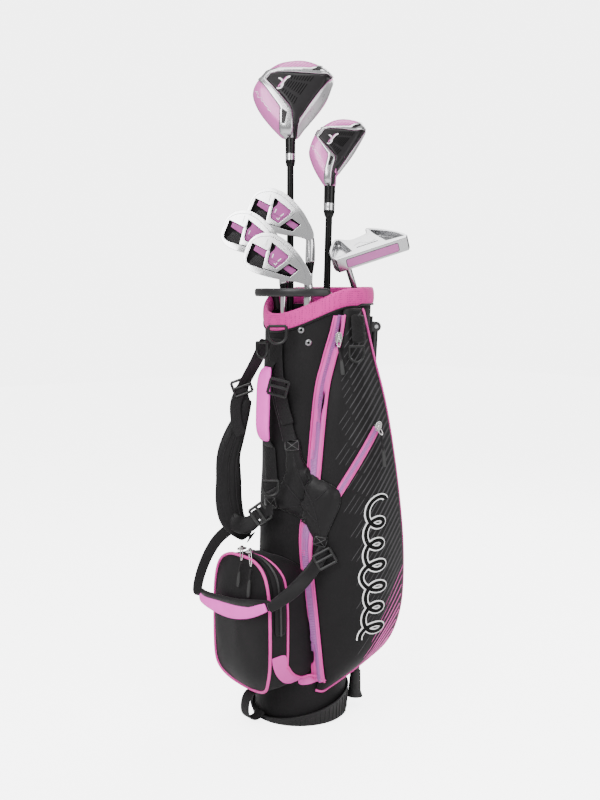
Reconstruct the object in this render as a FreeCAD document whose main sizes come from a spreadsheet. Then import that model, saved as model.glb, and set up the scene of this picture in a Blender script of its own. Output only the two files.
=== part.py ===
import FreeCAD, Part
import Sketcher
import math
import os

# Junior golf club set: a soft stand bag with six clubs, in millimetres.
# +Z is up and the origin is the middle of the base's flat underside.
# The legs are on the +Y side, the spine with the carry handle on the -Y side,
# and the large apparel pocket on the +X side. The tube leans towards the legs.

Vec = FreeCAD.Vector
doc = FreeCAD.newDocument("GolfClubSet")
sheet = doc.addObject("Spreadsheet::Sheet", "Sizes")

DRIVING = [
    ("lean", 38, "shift of the tube's middle towards the legs at mouth height"),
    ("mouth", 650, "height at which the lean is measured"),
    ("base_rad", 76, "outer radius of the moulded base at the floor"),
    ("top_rad", 84, "outer radius of the fabric tube at the mouth"),
    ("cloth", 2.5, "wall of the fabric tube"),
    ("rim", 684, "height of the padded cuff"),
    ("band", 27, "height of the padded cuff's band"),
    ("dip_rad", 110, "radius of the dip in the cuff under the lift handle"),
    ("dip_low", 643, "lowest point of the cuff"),
    ("bar_rad", 71.65, "radius of the lift handle's bow"),
    ("bar_top", 682, "top of the lift handle"),
    ("shaft_foot", 15, "height of the inside of the base, where the grips stand"),
    ("graphite_tip", 5.4, "radius of a wood's shaft at the head"),
    ("steel_tip", 4.7, "radius of an iron's shaft at the head"),
    ("grip_rad", 10.5, "radius of a grip's butt"),
    ("grip_len", 235, "length of a grip"),
    ("leg_rad", 6.5, "radius of a stand leg's tube"),
    ("leg_top", 620, "height of the legs' hinges"),
    ("stay_rad", 3, "radius of the tube's three stays"),
    ("pin_rad", 3, "radius of the legs' hinge pins"),
    ("splay", 25, "turn of each leg's hinge axis in plan, in degrees"),
    ("wire_rad", 2.2, "radius of the push rod's wire"),
    ("gap", 0.4, "gap between pieces that only lie beside each other"),
]
for row, (alias, value, note) in enumerate(DRIVING, start=1):
    sheet.set(f"A{row}", note)
    sheet.set(f"B{row}", str(value))
    sheet.setAlias(f"B{row}", alias)
doc.recompute()


def size(alias):
    return float(getattr(sheet, alias))


GAP = size("gap")
TURN = 52.0  # the clubs' faces and soles are turned this far about Z from the row frame
parts = []

# Soft pieces on the front of the bag are laid out facing the side between the spine
# and the apparel pocket: "across" runs along that side and "out" comes away from it.
A = math.radians(TURN)
ACROSS = Vec(math.cos(A), math.sin(A), 0)
OUT = Vec(math.sin(A), -math.cos(A), 0)


def at(across, out, z):
    """A point from its distance across and out on the front of the bag."""
    return ACROSS * across + OUT * out + Vec(0, 0, z)


def keep(obj, label):
    """Marks an object of the document as a sub-part, whose label names its file."""
    obj.Label = label
    parts.append(obj)
    return obj


def feature(label, shape):
    """A sub-part whose shape is worked out here from the sheet's sizes."""
    obj = doc.addObject("Part::Feature", label)
    obj.Shape = shape
    return keep(obj, label)


def centre_y(z):
    """The tube's middle at height z."""
    return size("lean") * z / size("mouth")


def tube_rad(z):
    """The fabric tube's outer radius at height z."""
    foot = size("base_rad") - 4.0
    return foot + (size("top_rad") - foot) * z / size("mouth")


def leaning_cone(z_low, z_high, inset):
    """A solid cone frustum along the leaning tube, inset from the tube's outer wall."""
    rings = [
        Part.Wire(Part.makeCircle(tube_rad(z) - inset, Vec(0, centre_y(z), z)))
        for z in (z_low, z_high)
    ]
    return Part.makeLoft(rings, True, True)


def on_tube(angle, z, out):
    """A point out from the tube's wall, at an angle in degrees from +X."""
    a = math.radians(angle)
    r = tube_rad(z) + out
    return Vec(r * math.cos(a), centre_y(z) + r * math.sin(a), z)


def block(dx, dy, dz, low):
    """A box from its size and its lowest corner."""
    return Part.makeBox(dx, dy, dz, low)


def rod(start, end, rad):
    """A round rod between two points."""
    run = end - start
    return Part.makeCylinder(rad, run.Length, start, run)


def strip(points, width, thick, across):
    """A flat strap through points: one slab for each stretch, joined at round corners.

    across is the direction of the strap's width at every point."""
    slabs = []
    for a, b in zip(points, points[1:]):
        along = (b - a).normalize()
        wide = (across - along * across.dot(along)).normalize()
        normal = along.cross(wide)
        corner = a - wide * (width / 2) - normal * (thick / 2)
        outline = [corner, corner + wide * width, corner + wide * width + normal * thick,
                   corner + normal * thick, corner]
        slabs.append(Part.Face(Part.makePolygon(outline)).extrude(b - a))
    for p, a, b in zip(points[1:-1], points, points[2:]):
        along = (b - a).normalize()
        wide = (across - along * across.dot(along)).normalize()
        slabs.append(Part.makeCylinder(thick / 2, width, p - wide * (width / 2), wide))
    return slabs[0].multiFuse(slabs[1:]).removeSplitter()


def plane_body(label, role):
    """A PartDesign body and a sketch on one of its origin planes."""
    body = doc.addObject("PartDesign::Body", label)
    sketch = body.newObject("Sketcher::SketchObject", label + "_sketch")
    plane = [f for f in body.Origin.OriginFeatures if f.Role == role][0]
    sketch.AttachmentSupport = [(plane, "")]
    sketch.MapMode = "FlatFace"
    return body, sketch


def outline_sketch(sketch, points):
    """Draws a closed outline whose corners are pairs of expressions or numbers."""
    values = [(value_of(x), value_of(y)) for x, y in points]
    for (x1, y1), (x2, y2) in zip(values, values[1:] + values[:1]):
        sketch.addGeometry(Part.LineSegment(Vec(x1, y1, 0), Vec(x2, y2, 0)), False)
    count = len(points)
    for i in range(count):
        sketch.addConstraint(Sketcher.Constraint("Coincident", i, 2, (i + 1) % count, 1))
    for i, (x, y) in enumerate(points):
        for kind, text in (("DistanceX", x), ("DistanceY", y)):
            number = value_of(text)
            if abs(number) < 1e-9:
                axis = -2 if kind == "DistanceX" else -1
                sketch.addConstraint(Sketcher.Constraint("PointOnObject", i, 1, axis))
                continue
            spot = sketch.addConstraint(Sketcher.Constraint(kind, -1, 1, i, 1, number))
            if isinstance(text, str):
                sketch.setExpression(f"Constraints[{spot}]", text)


def value_of(text):
    """The number that an expression on the sheet has now."""
    if not isinstance(text, str):
        return float(text)
    names = {f"Sizes.{alias}": str(size(alias)) for alias, _, _ in DRIVING}
    for name in sorted(names, key=len, reverse=True):
        text = text.replace(name, names[name])
    total = 0.0
    for term in text.replace("-", "+-").split("+"):
        if term.strip():
            product = 1.0
            for factor in term.split("*"):
                product *= float(factor.strip().replace("- ", "-"))
            total += product
    return total


def turned(label, points):
    """A turned piece: an outline of (radius, height) corners revolved about Z."""
    body, sketch = plane_body(label, "XZ_Plane")
    outline_sketch(sketch, points)
    turn = body.newObject("PartDesign::Revolution", label + "_turn")
    turn.Profile = sketch
    turn.ReferenceAxis = (sketch, ["V_Axis"])
    turn.Angle = 360
    doc.recompute()
    return keep(body, label)


# ---------------------------------------------------------------- bag structure

def slanted_rim():
    """Everything above the base's rim, which is low at the spine and high at the legs."""
    low, high, half = 10.0, 50.0, size("base_rad")
    middle = (low + high) / 2
    outline = [Vec(-120, -half * 2, 2 * low - middle), Vec(-120, half * 2, 2 * high - middle),
               Vec(-120, half * 2, 900), Vec(-120, -half * 2, 900)]
    return Part.Face(Part.makePolygon(outline + outline[:1])).extrude(Vec(240, 0, 0))


def leg_side_chamfer():
    """The slope under the leg side that the bag tips onto."""
    outline = [Vec(-120, 48, -1), Vec(-120, 48, 0), Vec(-120, 82, 42), Vec(-120, 120, 42),
               Vec(-120, 120, -1)]
    return Part.Face(Part.makePolygon(outline + outline[:1])).extrude(Vec(240, 0, 0))


def base_cup():
    """The moulded base: a floor 6 mm thick with a low wall, cut to the slanted rim."""
    wall = 3.0
    base = size("base_rad")
    outer = Part.makeCone(base, base + 4, 60)
    slope = leg_side_chamfer()
    skin = outer.cut(slope)
    inner = Part.makeCone(base - wall, base + 4 - wall, 56, Vec(0, 0, 6))
    inner = inner.cut(leg_side_chamfer().translated(Vec(0, -5, 5)))
    return skin.cut(inner).cut(slanted_rim())


def above_body():
    """Everything above the fabric tube's top edge, which dips at the spine."""
    high = size("rim") - size("band")
    box = block(300, 300, 200, Vec(-150, -110, high))
    middle = size("dip_low") - size("band") + 6 + size("dip_rad")
    dip = Part.makeCylinder(size("dip_rad"), 170, Vec(0, -140, middle), Vec(0, 1, 0))
    return box, dip


def bag_body():
    """The fabric tube, standing inside the base."""
    z_low = 6.0 + GAP
    tube = leaning_cone(z_low, 680, 0).cut(leaning_cone(z_low - 1, 681, size("cloth")))
    box, dip = above_body()
    slope = leg_side_chamfer().translated(Vec(0, -5 - GAP, 5 + GAP))
    base = size("base_rad")
    cup = Part.makeCone(base - 3 - GAP, base + 1 - GAP, 60)
    outside = Part.makeCone(200, 200.01, 60).cut(cup)
    return tube.cut(box.fuse(dip)).cut(slope).cut(outside.cut(slanted_rim())).cut(handle_posts(GAP))


def bracket_spots():
    """Where the lift handle's two posts meet the ring."""
    return [Vec(side * size("bar_rad"), size("lean") - 35, 0) for side in (-1, 1)]


def handle_posts(grow):
    """The two posts that carry the lift handle, grown all round by a gap."""
    posts = []
    for spot in bracket_spots():
        corner = spot + Vec(-6 - grow, -11 - grow, 612 - grow)
        posts.append(block(12 + 2 * grow, 22 + 2 * grow, 70, corner))
    return posts[0].fuse(posts[1])


def handle_bow(grow):
    """The lift handle's half ring, grown all round by a gap."""
    bow_y = size("lean") - 31.35
    low = size("bar_top") - 14 - grow
    deep = 14 + 2 * grow
    bow = Part.makeCylinder(size("bar_rad") + 5 + grow, deep, Vec(0, bow_y, low))
    bow = bow.cut(Part.makeCylinder(size("bar_rad") - 5 - grow, deep, Vec(0, bow_y, low)))
    return bow.common(block(300, 200, 100, Vec(-150, bow_y - 200, 600)))


def top_frame():
    """The moulded ring in the mouth, its three-way divider and the lift handle."""
    middle = Vec(0, centre_y(625), 600)
    ring = Part.makeCylinder(79.2, 40, middle).cut(Part.makeCylinder(76.2, 40, middle))
    divider_x, divider_y = 20.0, 26.0
    inside = Part.makeCylinder(77, 30, middle + Vec(0, 0, 5))
    long_bar = block(2.4, 180, 30, Vec(divider_x - 1.2, -50, 605))
    short_bar = block(80, 2.4, 30, Vec(divider_x, divider_y - 1.2, 605))
    dividers = long_bar.fuse(short_bar).common(inside)
    return ring.multiFuse([dividers, handle_bow(0), handle_posts(0)]).removeSplitter()


def collar_pad():
    """The padded mesh cuff, which dips under the lift handle."""
    low, high = 610.0, 700.0
    outer = Part.makeCylinder(88, high - low, Vec(0, centre_y(655), low))
    ring = outer.cut(Part.makeCylinder(80.6, high - low, Vec(0, centre_y(655), low)))
    top = size("rim")
    over = block(300, 300, 60, Vec(-150, -110, top))
    middle = size("dip_low") + size("dip_rad")
    over = over.fuse(Part.makeCylinder(size("dip_rad"), 170, Vec(0, -140, middle), Vec(0, 1, 0)))
    box, dip = above_body()
    under = block(300, 300, 100, Vec(-150, -110, top - size("band") - 100 + GAP))
    under = under.cut(dip.translated(Vec(0, 0, GAP)))
    return ring.cut(over).cut(under).cut(handle_posts(GAP)).cut(handle_bow(GAP))


def primitive(kind, name, place, **sizes):
    """A Part primitive whose sizes are expressions on the sheet, or numbers."""
    obj = doc.addObject("Part::" + kind, name)
    for prop, text in sizes.items():
        if isinstance(text, str):
            obj.setExpression(prop, text)
        else:
            setattr(obj, prop, text)
    obj.Placement = place
    return obj


def towards(start, direction):
    """A placement at a point, its Z axis along a direction."""
    return FreeCAD.Placement(start, FreeCAD.Rotation(Vec(0, 0, 1), direction))


def joined(label, kind, pieces):
    """Joins, cuts or groups objects of the document into one sub-part."""
    obj = doc.addObject("Part::" + kind, label)
    if kind == "Compound":
        obj.Links = pieces
    elif kind == "MultiFuse":
        obj.Shapes = pieces
    else:
        obj.Base, obj.Tool = pieces
    doc.recompute()
    return obj


def stay_rods():
    """Three glass-fibre stays inside the fabric tube."""
    rods = []
    for i, angle in enumerate((12, 90, 168)):
        low = on_tube(angle, 48, -size("cloth") - 4.5)
        run = on_tube(angle, 596, -size("cloth") - 4.5) - low
        place = towards(low, run)
        rods.append(primitive("Cylinder", f"stay_{i}", place, Radius="Sizes.stay_rad", Height=run.Length))
    keep(joined("stay_rods", "Compound", rods), "stay_rods")


# ---------------------------------------------------------------- pockets

def closed_curve(points):
    curve = Part.BSplineCurve()
    curve.interpolate(points, True)
    return Part.Wire(curve.toShape())


# Each row of the apparel pocket: its height, then the left seam, two points of the
# bulging panel and the right seam, each as distance across and out.
APPAREL_ROWS = [
    (58, (26, 70), (32, 73), (38, 70), (44, 63)),
    (74, (28, 76), (44, 82), (60, 72), (74, 46)),
    (97, (25, 82), (55, 92), (86, 76), (110, 32)),
    (120, (22, 85), (63, 97), (104, 80), (139, 26)),
    (151, (17, 85), (66, 100), (115, 82), (157, 21)),
    (198, (10, 85), (66, 101), (121, 83), (168, 18)),
    (275, (5, 85), (63, 100), (121, 82), (169, 17)),
    (353, (9, 85), (63, 98), (117, 78), (162, 16)),
    (430, (20, 84), (66, 94), (112, 73), (151, 15)),
    (508, (33, 80), (69, 87), (105, 65), (136, 16)),
    (570, (49, 72), (74, 76), (97, 57), (118, 22)),
    (625, (61, 64), (77, 65), (92, 50), (104, 32)),
    (648, (67, 57), (78, 57), (89, 47), (98, 37)),
]


def apparel_section(row):
    """The pocket's outline at one height, closed inside the tube."""
    z, left, bulge_a, bulge_b, right = row
    c, r = centre_y(z), tube_rad(z)
    mid_across, mid_out = c * math.sin(A), -c * math.cos(A)
    rear = min(right[0] - 9, mid_across + r - 4)
    side = math.sqrt(max(r * r - (rear - mid_across) ** 2, 0))
    panel = Part.BSplineCurve()
    panel.interpolate([Vec(across, out, 0) for across, out in (left, bulge_a, bulge_b, right)])
    points = [(p.x, p.y) for p in panel.discretize(9)]
    points += [(rear, mid_out + side - 6), (mid_across + 0.5 * r, mid_out + 0.2 * r)]
    points += [(left[0] + 3, mid_out + 0.5 * r)]
    corners = [at(across, out, z) for across, out in points]
    return Part.makePolygon(corners + corners[:1])


def apparel_pocket():
    """The large pocket on the +X side, a long drop that is deepest near the bottom."""
    pod = Part.makeLoft([apparel_section(row) for row in APPAREL_ROWS], True, True)
    return pod.cut(leaning_cone(0, 700, -GAP))


# Height, half width and the front panel's y for the ball pocket on the spine side.
BALL_ROWS = [(64, 48, -94), (80, 64, -111), (110, 72, -119), (160, 75, -121), (210, 74, -121),
             (240, 68, -118), (258, 56, -111), (270, 36, -98)]


def ball_pocket():
    """The round-topped pocket low on the spine side."""
    wires = []
    for z, half, face in BALL_ROWS:
        back = centre_y(z) - 50
        side = [(half * 0.7, face), (half, face + 13), (half * 0.97, (face + back) / 2)]
        side.append((half * 0.9, back))
        points = [(0, face - 2)] + side + [(half * 0.5, back + 12), (-half * 0.5, back + 12)]
        points += [(-x, y) for x, y in reversed(side)]
        wires.append(closed_curve([Vec(x, y, z) for x, y in points]))
    pouch = Part.makeLoft(wires, True, False)
    return pouch.cut(leaning_cone(0, 700, -GAP)).cut(apparel_pocket())


# ---------------------------------------------------------------- stand

LEG_FOOT = Vec(35, 89, 12)
LEG_HINGE_X = 34.0
HINGE_OUT = 14.8


def leg_hinge(side):
    """The middle of a leg's hinge. side is 1 for the leg nearer +X and -1 for the other."""
    z = size("leg_top")
    wall = math.sqrt(tube_rad(z) ** 2 - LEG_HINGE_X ** 2)
    return Vec(side * LEG_HINGE_X, centre_y(z) + wall + HINGE_OUT, z)


def leg_axis(side):
    """The direction of a leg's hinge pin."""
    a = math.radians(size("splay"))
    return Vec(math.cos(a), -side * math.sin(a), 0)


def leg_tube(name, side):
    """A stand leg: its tube and the eye that turns on the hinge pin."""
    hinge, axis = leg_hinge(side), leg_axis(side)
    foot = Vec(side * LEG_FOOT.x, LEG_FOOT.y, 40)
    along = (hinge - foot).normalize()
    tube = primitive("Cylinder", f"leg_{name}_stem", towards(foot, along), Radius="Sizes.leg_rad",
                     Height=(hinge - foot).Length - 5)
    eye = primitive("Cylinder", f"leg_{name}_eye", towards(hinge - axis * 6, axis),
                    Radius="Sizes.pin_rad + 5", Height=12)
    hole = primitive("Cylinder", f"leg_{name}_hole", towards(hinge - axis * 20, axis),
                     Radius="Sizes.pin_rad + 0.05", Height=40)
    leg = joined(f"leg_{name}_solid", "MultiFuse", [tube, eye])
    keep(joined(f"leg_{name}_tube", "Cut", [leg, hole]), f"leg_{name}_tube")


def leg_foot(name, side):
    """A rubber foot, flared at the ground, on the leg's end."""
    hinge = leg_hinge(side)
    foot = Vec(side * LEG_FOOT.x, LEG_FOOT.y, 40)
    along = (hinge - foot).normalize()
    sock = primitive("Cone", f"leg_{name}_sock", towards(foot - along * 18, along),
                     Radius1="Sizes.leg_rad + 4", Radius2="Sizes.leg_rad + 1.8", Height=34)
    pad = primitive("Cone", f"leg_{name}_pad", towards(foot - along * 27, along),
                    Radius1="Sizes.leg_rad + 7.5", Radius2="Sizes.leg_rad + 4", Height=9)
    socket = primitive("Cylinder", f"leg_{name}_socket", towards(foot, along),
                       Radius="Sizes.leg_rad", Height=40)
    rubber = joined(f"leg_{name}_rubber", "MultiFuse", [sock, pad])
    keep(joined(f"leg_{name}_foot", "Cut", [rubber, socket]), f"leg_{name}_foot")


def bracket_ears(side):
    """The two ears that hold one hinge pin, with the pin's holes."""
    hinge, axis = leg_hinge(side), leg_axis(side)
    ears = []
    for off in (-11.6, 7.6):
        ear = Part.makeCylinder(8, 4, hinge + axis * off, axis)
        web = block(4, 16, 16, Vec(0, -16, -8))
        web.rotate(Vec(0, 0, 0), Vec(0, 0, 1), math.degrees(math.atan2(axis.y, axis.x)))
        web.translate(hinge + axis * off)
        ears += [ear, web]
    solid = ears[0].multiFuse(ears[1:])
    return solid.cut(Part.makeCylinder(size("pin_rad"), 40, hinge - axis * 20, axis))


def leg_bracket():
    """The moulded hinge block that is riveted to the tube under the cuff."""
    z = size("leg_top")
    plate = leaning_cone(z - 17, z + 17, -4.0).cut(leaning_cone(z - 18, z + 18, -GAP))
    plate = plate.common(block(112, 100, 60, Vec(-56, centre_y(z) + 50, z - 30)))
    return plate.multiFuse([bracket_ears(1), bracket_ears(-1)]).cut(leaning_cone(z - 40, z + 40, -GAP))


def leg_pins():
    """The two hinge pins."""
    pins = []
    for i, side in enumerate((1, -1)):
        hinge, axis = leg_hinge(side), leg_axis(side)
        place = towards(hinge - axis * 12.5, axis)
        pins.append(primitive("Cylinder", f"pin_{i}", place, Radius="Sizes.pin_rad", Height=25))
    keep(joined("leg_pins", "Compound", pins), "leg_pins")


def rod_line(z):
    """Where the push rod's wires run, just clear of the tube and the base."""
    return centre_y(z) + tube_rad(z) + 10.0


def wire(points, rad):
    """A bent wire: a rod for each straight run and a ball in each bend."""
    runs = [rod(a, b, rad) for a, b in zip(points, points[1:])]
    bends = [Part.makeSphere(rad, p) for p in points[1:-1]]
    return runs[0].multiFuse(runs[1:] + bends)


def push_rod():
    """The U-shaped wire: pressed up at the base's slope, it swings the legs out."""
    half, low, high = 12.0, 14.0, 572.0
    points = [Vec(-half, rod_line(high), high), Vec(-half, rod_line(low + 8), low + 8),
              Vec(-half + 8, rod_line(low), low), Vec(half - 8, rod_line(low), low),
              Vec(half, rod_line(low + 8), low + 8), Vec(half, rod_line(high), high)]
    return wire(points, size("wire_rad"))


def rod_guides():
    """Two moulded guides that hold the push rod against the tube."""
    guides = []
    for z in (180.0, 420.0):
        y = rod_line(z)
        plate = block(40, 12, 14, Vec(-20, y - 10, z - 7)).cut(leaning_cone(z - 20, z + 20, -GAP))
        plate = plate.fuse(block(40, 6, 14, Vec(-20, y - 2, z - 7)))
        for x in (-12, 12):
            low, high = Vec(x, rod_line(z - 60), z - 60), Vec(x, rod_line(z + 60), z + 60)
            plate = plate.cut(rod(low, high, size("wire_rad") + 0.5))
        guides.append(plate)
    return Part.makeCompound(guides)


# ---------------------------------------------------------------- straps and trims

def slab(outline, out, thick):
    """A flat pad: an outline of (across, height) corners, thick towards the front."""
    corners = [at(a, out, z) for a, z in outline]
    return Part.Face(Part.makePolygon(corners + corners[:1])).extrude(OUT * thick)


def wrapped(outline, low, high):
    """A piece that hugs the tube between two distances out, cut to an outline."""
    heights = [z for _, z in outline]
    z1, z2 = min(heights) - 5, max(heights) + 5
    shell = leaning_cone(z1, z2, -high).cut(leaning_cone(z1 - 1, z2 + 1, -low))
    return shell.common(slab(outline, 0, 200))


def band(points, width):
    """The outline of a strap of even width along a line of (across, height) points."""
    left, right = [], []
    for i, p in enumerate(points):
        a = points[max(i - 1, 0)]
        b = points[min(i + 1, len(points) - 1)]
        run = math.hypot(b[0] - a[0], b[1] - a[1])
        nx, nz = -(b[1] - a[1]) / run, (b[0] - a[0]) / run
        left.append((p[0] + nx * width / 2, p[1] + nz * width / 2))
        right.append((p[0] - nx * width / 2, p[1] - nz * width / 2))
    return left + right[::-1]


def strap_pad_upper():
    """The padded part of the upper shoulder strap, hanging free beside the spine."""
    outline = [(-80, 506), (-108, 467), (-128, 439), (-132, 411), (-135, 362), (-135, 323), (-122, 307),
               (-91, 278), (-63, 302), (-86, 331), (-89, 347), (-91, 395), (-97, 434), (-79, 478), (-75, 500)]
    return slab(outline, 4, 13)


def strap_pad_lower():
    """The padded part of the lower shoulder strap, across the front of the ball pocket."""
    outline = [(84, 204), (84, 214), (40, 209), (-20, 201), (-90, 198), (-92, 184), (-40, 179), (20, 180),
               (60, 190)]
    corners = [Vec(x, -126, z) for x, z in outline]
    return Part.Face(Part.makePolygon(corners + corners[:1])).extrude(Vec(0, -11, 0))


def strap_hub():
    """The padded yoke where the shoulder straps meet."""
    outline = [(-23, 450), (0, 450), (5, 423), (26, 399), (51, 387), (62, 376), (59, 354), (43, 312),
               (41, 290), (21, 290), (19, 310), (-6, 331), (-33, 339), (-53, 339), (-53, 362), (-21, 389),
               (-20, 426)]
    pod = apparel_pocket()
    return wrapped(outline, 5, 18).cut(pod.translated(OUT * GAP)).fuse(tape(pod, outline, 12))


def strap_webbing():
    """The webbing of both shoulder straps, between the pads, the hub and the rings."""
    top = wrapped(band([(-32, 606), (-32, 532), (-12, 440)], 22), 16, 18)
    upper = strip([at(-48, 44, 596), at(-70, 26, 540), at(-92, 12, 512), at(-90, 10, 490)], 20, 2, ACROSS)
    loop = strip([at(-62, 52, 372), at(-78, 34, 356), at(-88, 12, 350)], 12, 2, Vec(0, 0, 1))
    lower = strip([at(36, 107, 290), at(20, 110, 264), at(-12, 126, 226), Vec(84, -128, 208)], 18, 2,
                  at(-0.7, 0, 0.7))
    rise = strip([Vec(-88, -131, 190), at(-163, 12, 216), at(-140, 11, 262), at(-112, 11, 288)], 14, 2,
                 at(0.8, 0, -0.5))
    return Part.makeCompound([top, upper, loop, lower, rise])


def ladder_lock(middle, turn):
    """A moulded ladder lock: a frame with two bars."""
    frame = Part.makeBox(30, 6, 26, Vec(-15, -3, -13))
    for z in (-8.5, 1.5):
        frame = frame.cut(Part.makeBox(23, 8, 7, Vec(-11.5, -4, z)))
    frame.rotate(Vec(0, 0, 0), Vec(0, 1, 0), turn)
    frame.rotate(Vec(0, 0, 0), Vec(0, 0, 1), TURN)
    frame.translate(middle)
    return frame


def strap_buckles():
    """The four ladder locks that shorten the shoulder straps."""
    return Part.makeCompound([ladder_lock(at(-32, 90, 532), 15), ladder_lock(at(-90, 16, 526), -20),
                              ladder_lock(at(-80, 40, 347), 80), ladder_lock(at(38, 109, 276), -30)])


def dee(middle, width, height, wire_rad, turn):
    """A D ring: a bent wire with a straight bar across its top."""
    half = width / 2
    points = [Vec(-half, 0, height / 2)]
    for step in range(7):
        a = math.pi * (1 + step / 6)
        points.append(Vec(half * math.cos(a), 0, height / 2 - half + (height - half) * 0.9 * math.sin(a)))
    points += [Vec(half, 0, height / 2), Vec(-half, 0, height / 2)]
    shape = wire(points, wire_rad)
    shape = shape.fuse(Part.makeSphere(wire_rad, points[0]))
    shape.rotate(Vec(0, 0, 0), Vec(0, 0, 1), turn)
    shape.translate(middle)
    return shape


def d_rings():
    """The rings that hang the shoulder straps from the tube."""
    return Part.makeCompound([dee(at(-33, 84, 612), 26, 20, 2.2, TURN),
                              dee(at(-57, 58, 590), 24, 18, 2.2, 5),
                              dee(at(-45, 84, 380), 24, 18, 2.2, TURN)])


def carry_handle():
    """The padded carry handle along the spine."""
    z1, z2 = 432.0, 570.0
    y1, y2 = centre_y(z1) - tube_rad(z1), centre_y(z2) - tube_rad(z2)
    points = [Vec(0, y1 - GAP, z1), Vec(0, y1 - 17, z1 + 12), Vec(0, y1 - 19, z1 + 34),
              Vec(0, y2 - 19, z2 - 34), Vec(0, y2 - 17, z2 - 12), Vec(0, y2 - GAP, z2)]
    return strip(points, 25, 7, Vec(1, 0, 0))


def base_loop():
    """The webbing loop under the ball pocket."""
    points = [Vec(0, -77, 46), Vec(0, -92, 54), Vec(0, -106, 44), Vec(0, -108, 14), Vec(0, -96, 7),
              Vec(0, -77, 16)]
    return strip(points, 22, 2.4, Vec(1, 0, 0))


def towel_loop():
    """The webbing tab that holds the towel ring, between the pocket and the cuff."""
    return strip([at(85, 61, 641), at(85, 71, 608), at(86, 76, 596)], 18, 2, ACROSS)


def towel_ring():
    """The wire ring on the towel tab."""
    return dee(at(86, 80, 582), 22, 20, 1.8, TURN)


def rivets():
    """Small rivets and eyelets on the tube and the hinge block."""
    caps = []
    for angle, z, rad, out in ((-46, 598, 6, GAP), (-55, 618, 5, GAP), (57, 623, 3.5, 4 + GAP)):
        caps.append(rod(on_tube(angle, z, out), on_tube(angle, z, out + 2.6), rad))
    return Part.makeCompound(caps)


def tape(solid, outline, thick):
    """A tape laid on the front of a pocket, cut to an outline."""
    area = slab(outline, 0, 260)
    patch = solid.common(area)
    outer = patch.translated(OUT * thick)
    return outer.cut(solid.translated(OUT * GAP))


def zip_outline():
    """The tape that runs down the pocket's left edge and the gusset to the base."""
    left = [(52, 636), (46, 614), (34, 571), (22, 514), (9, 364), (1, 308), (3, 257), (9, 200), (15, 142),
            (19, 79)]
    right = [(37, 79), (36, 105), (28, 181), (24, 238), (19, 287), (43, 514), (55, 571), (64, 602),
             (69, 636)]
    return left + right


PANEL_ZIP = [(121, 466), (114, 470), (54, 370), (61, 367)]


def slider(middle, turn, lean):
    """A zip slider: a small cast body with a bridge."""
    body = Part.makeBox(8, 4, 13, Vec(-4, -2, -6.5)).fuse(Part.makeBox(3, 3, 10, Vec(-1.5, -5, -5)))
    body.rotate(Vec(0, 0, 0), Vec(0, 1, 0), lean)
    body.rotate(Vec(0, 0, 0), Vec(0, 0, 1), turn)
    body.translate(middle)
    return body


# ---------------------------------------------------------------- clubs

# For each club: where the grip's butt stands, where its shaft passes mouth height, and
# the shaft's length up to the head.
CLUBS = {
    "driver": ((-44.5, 14.5), (-62.8, 30.1), 885, "graphite_tip"),
    "wood": ((-8, 40), (-4, 58), 812, "graphite_tip"),
    "iron_seven": ((4.7, -3.7), (1.4, 18), 690, "steel_tip"),
    "iron_nine": ((-12.3, -38.5), (-7.5, -25.8), 657, "steel_tip"),
    "wedge": ((34, -21.4), (35.4, -9.9), 619, "steel_tip"),
    "putter": ((40, 22), (56.1, 65.3), 655, "steel_tip"),
}


def club_placement(name):
    """Stands a club in the bag: turned to face the front, then leaned along its shaft."""
    foot, mouth = CLUBS[name][0], CLUBS[name][1]
    rise = size("mouth") - size("shaft_foot")
    base = Vec(foot[0], foot[1], size("shaft_foot"))
    lean = FreeCAD.Rotation(Vec(0, 0, 1), Vec(mouth[0] - foot[0], mouth[1] - foot[1], rise))
    return FreeCAD.Placement(base, lean * FreeCAD.Rotation(Vec(0, 0, 1), TURN))


def club_grip(name):
    """A tapered rubber grip with a rounded butt, bored for the shaft."""
    tip = CLUBS[name][3]
    bore = f"Sizes.{tip} + 1.2"
    body = turned(name + "_grip", [
        (0, 0), ("Sizes.grip_rad - 1.5", 0), ("Sizes.grip_rad", 2), ("Sizes.grip_rad", 8),
        ("Sizes.grip_rad - 3", "Sizes.grip_len"), (bore, "Sizes.grip_len"), (bore, 6), (0, 6)])
    body.Placement = club_placement(name)


def club_shaft(name, length):
    """A tapered shaft from the grip's butt to the ferrule."""
    tip = CLUBS[name][3]
    body = turned(name + "_shaft", [
        (0, 6), (f"Sizes.{tip} + 1.1", 6), (f"Sizes.{tip} + 1.1", "Sizes.grip_len"),
        (f"Sizes.{tip}", length), (0, length)])
    body.Placement = club_placement(name)


def club_ferrule(name, length, rise):
    """The short tapered collar between the shaft and the hosel."""
    tip = CLUBS[name][3]
    body = turned(name + "_ferrule", [
        (0, length), (f"Sizes.{tip} + 0.2", length), (f"Sizes.{tip} + 1.9", length + rise),
        (0, length + rise)])
    body.Placement = club_placement(name)


def scaled(points, middle, by):
    return [(middle[0] + (x - middle[0]) * by, middle[1] + (z - middle[1]) * by) for x, z in points]


# Depth from the sole to the crown, and the outline's share of its full size there.
WOOD_LAYERS = [(-0.5, 0.74), (-0.44, 0.86), (-0.28, 0.97), (-0.1, 1.0), (0.12, 0.97), (0.32, 0.86),
               (0.5, 0.6)]


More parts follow.
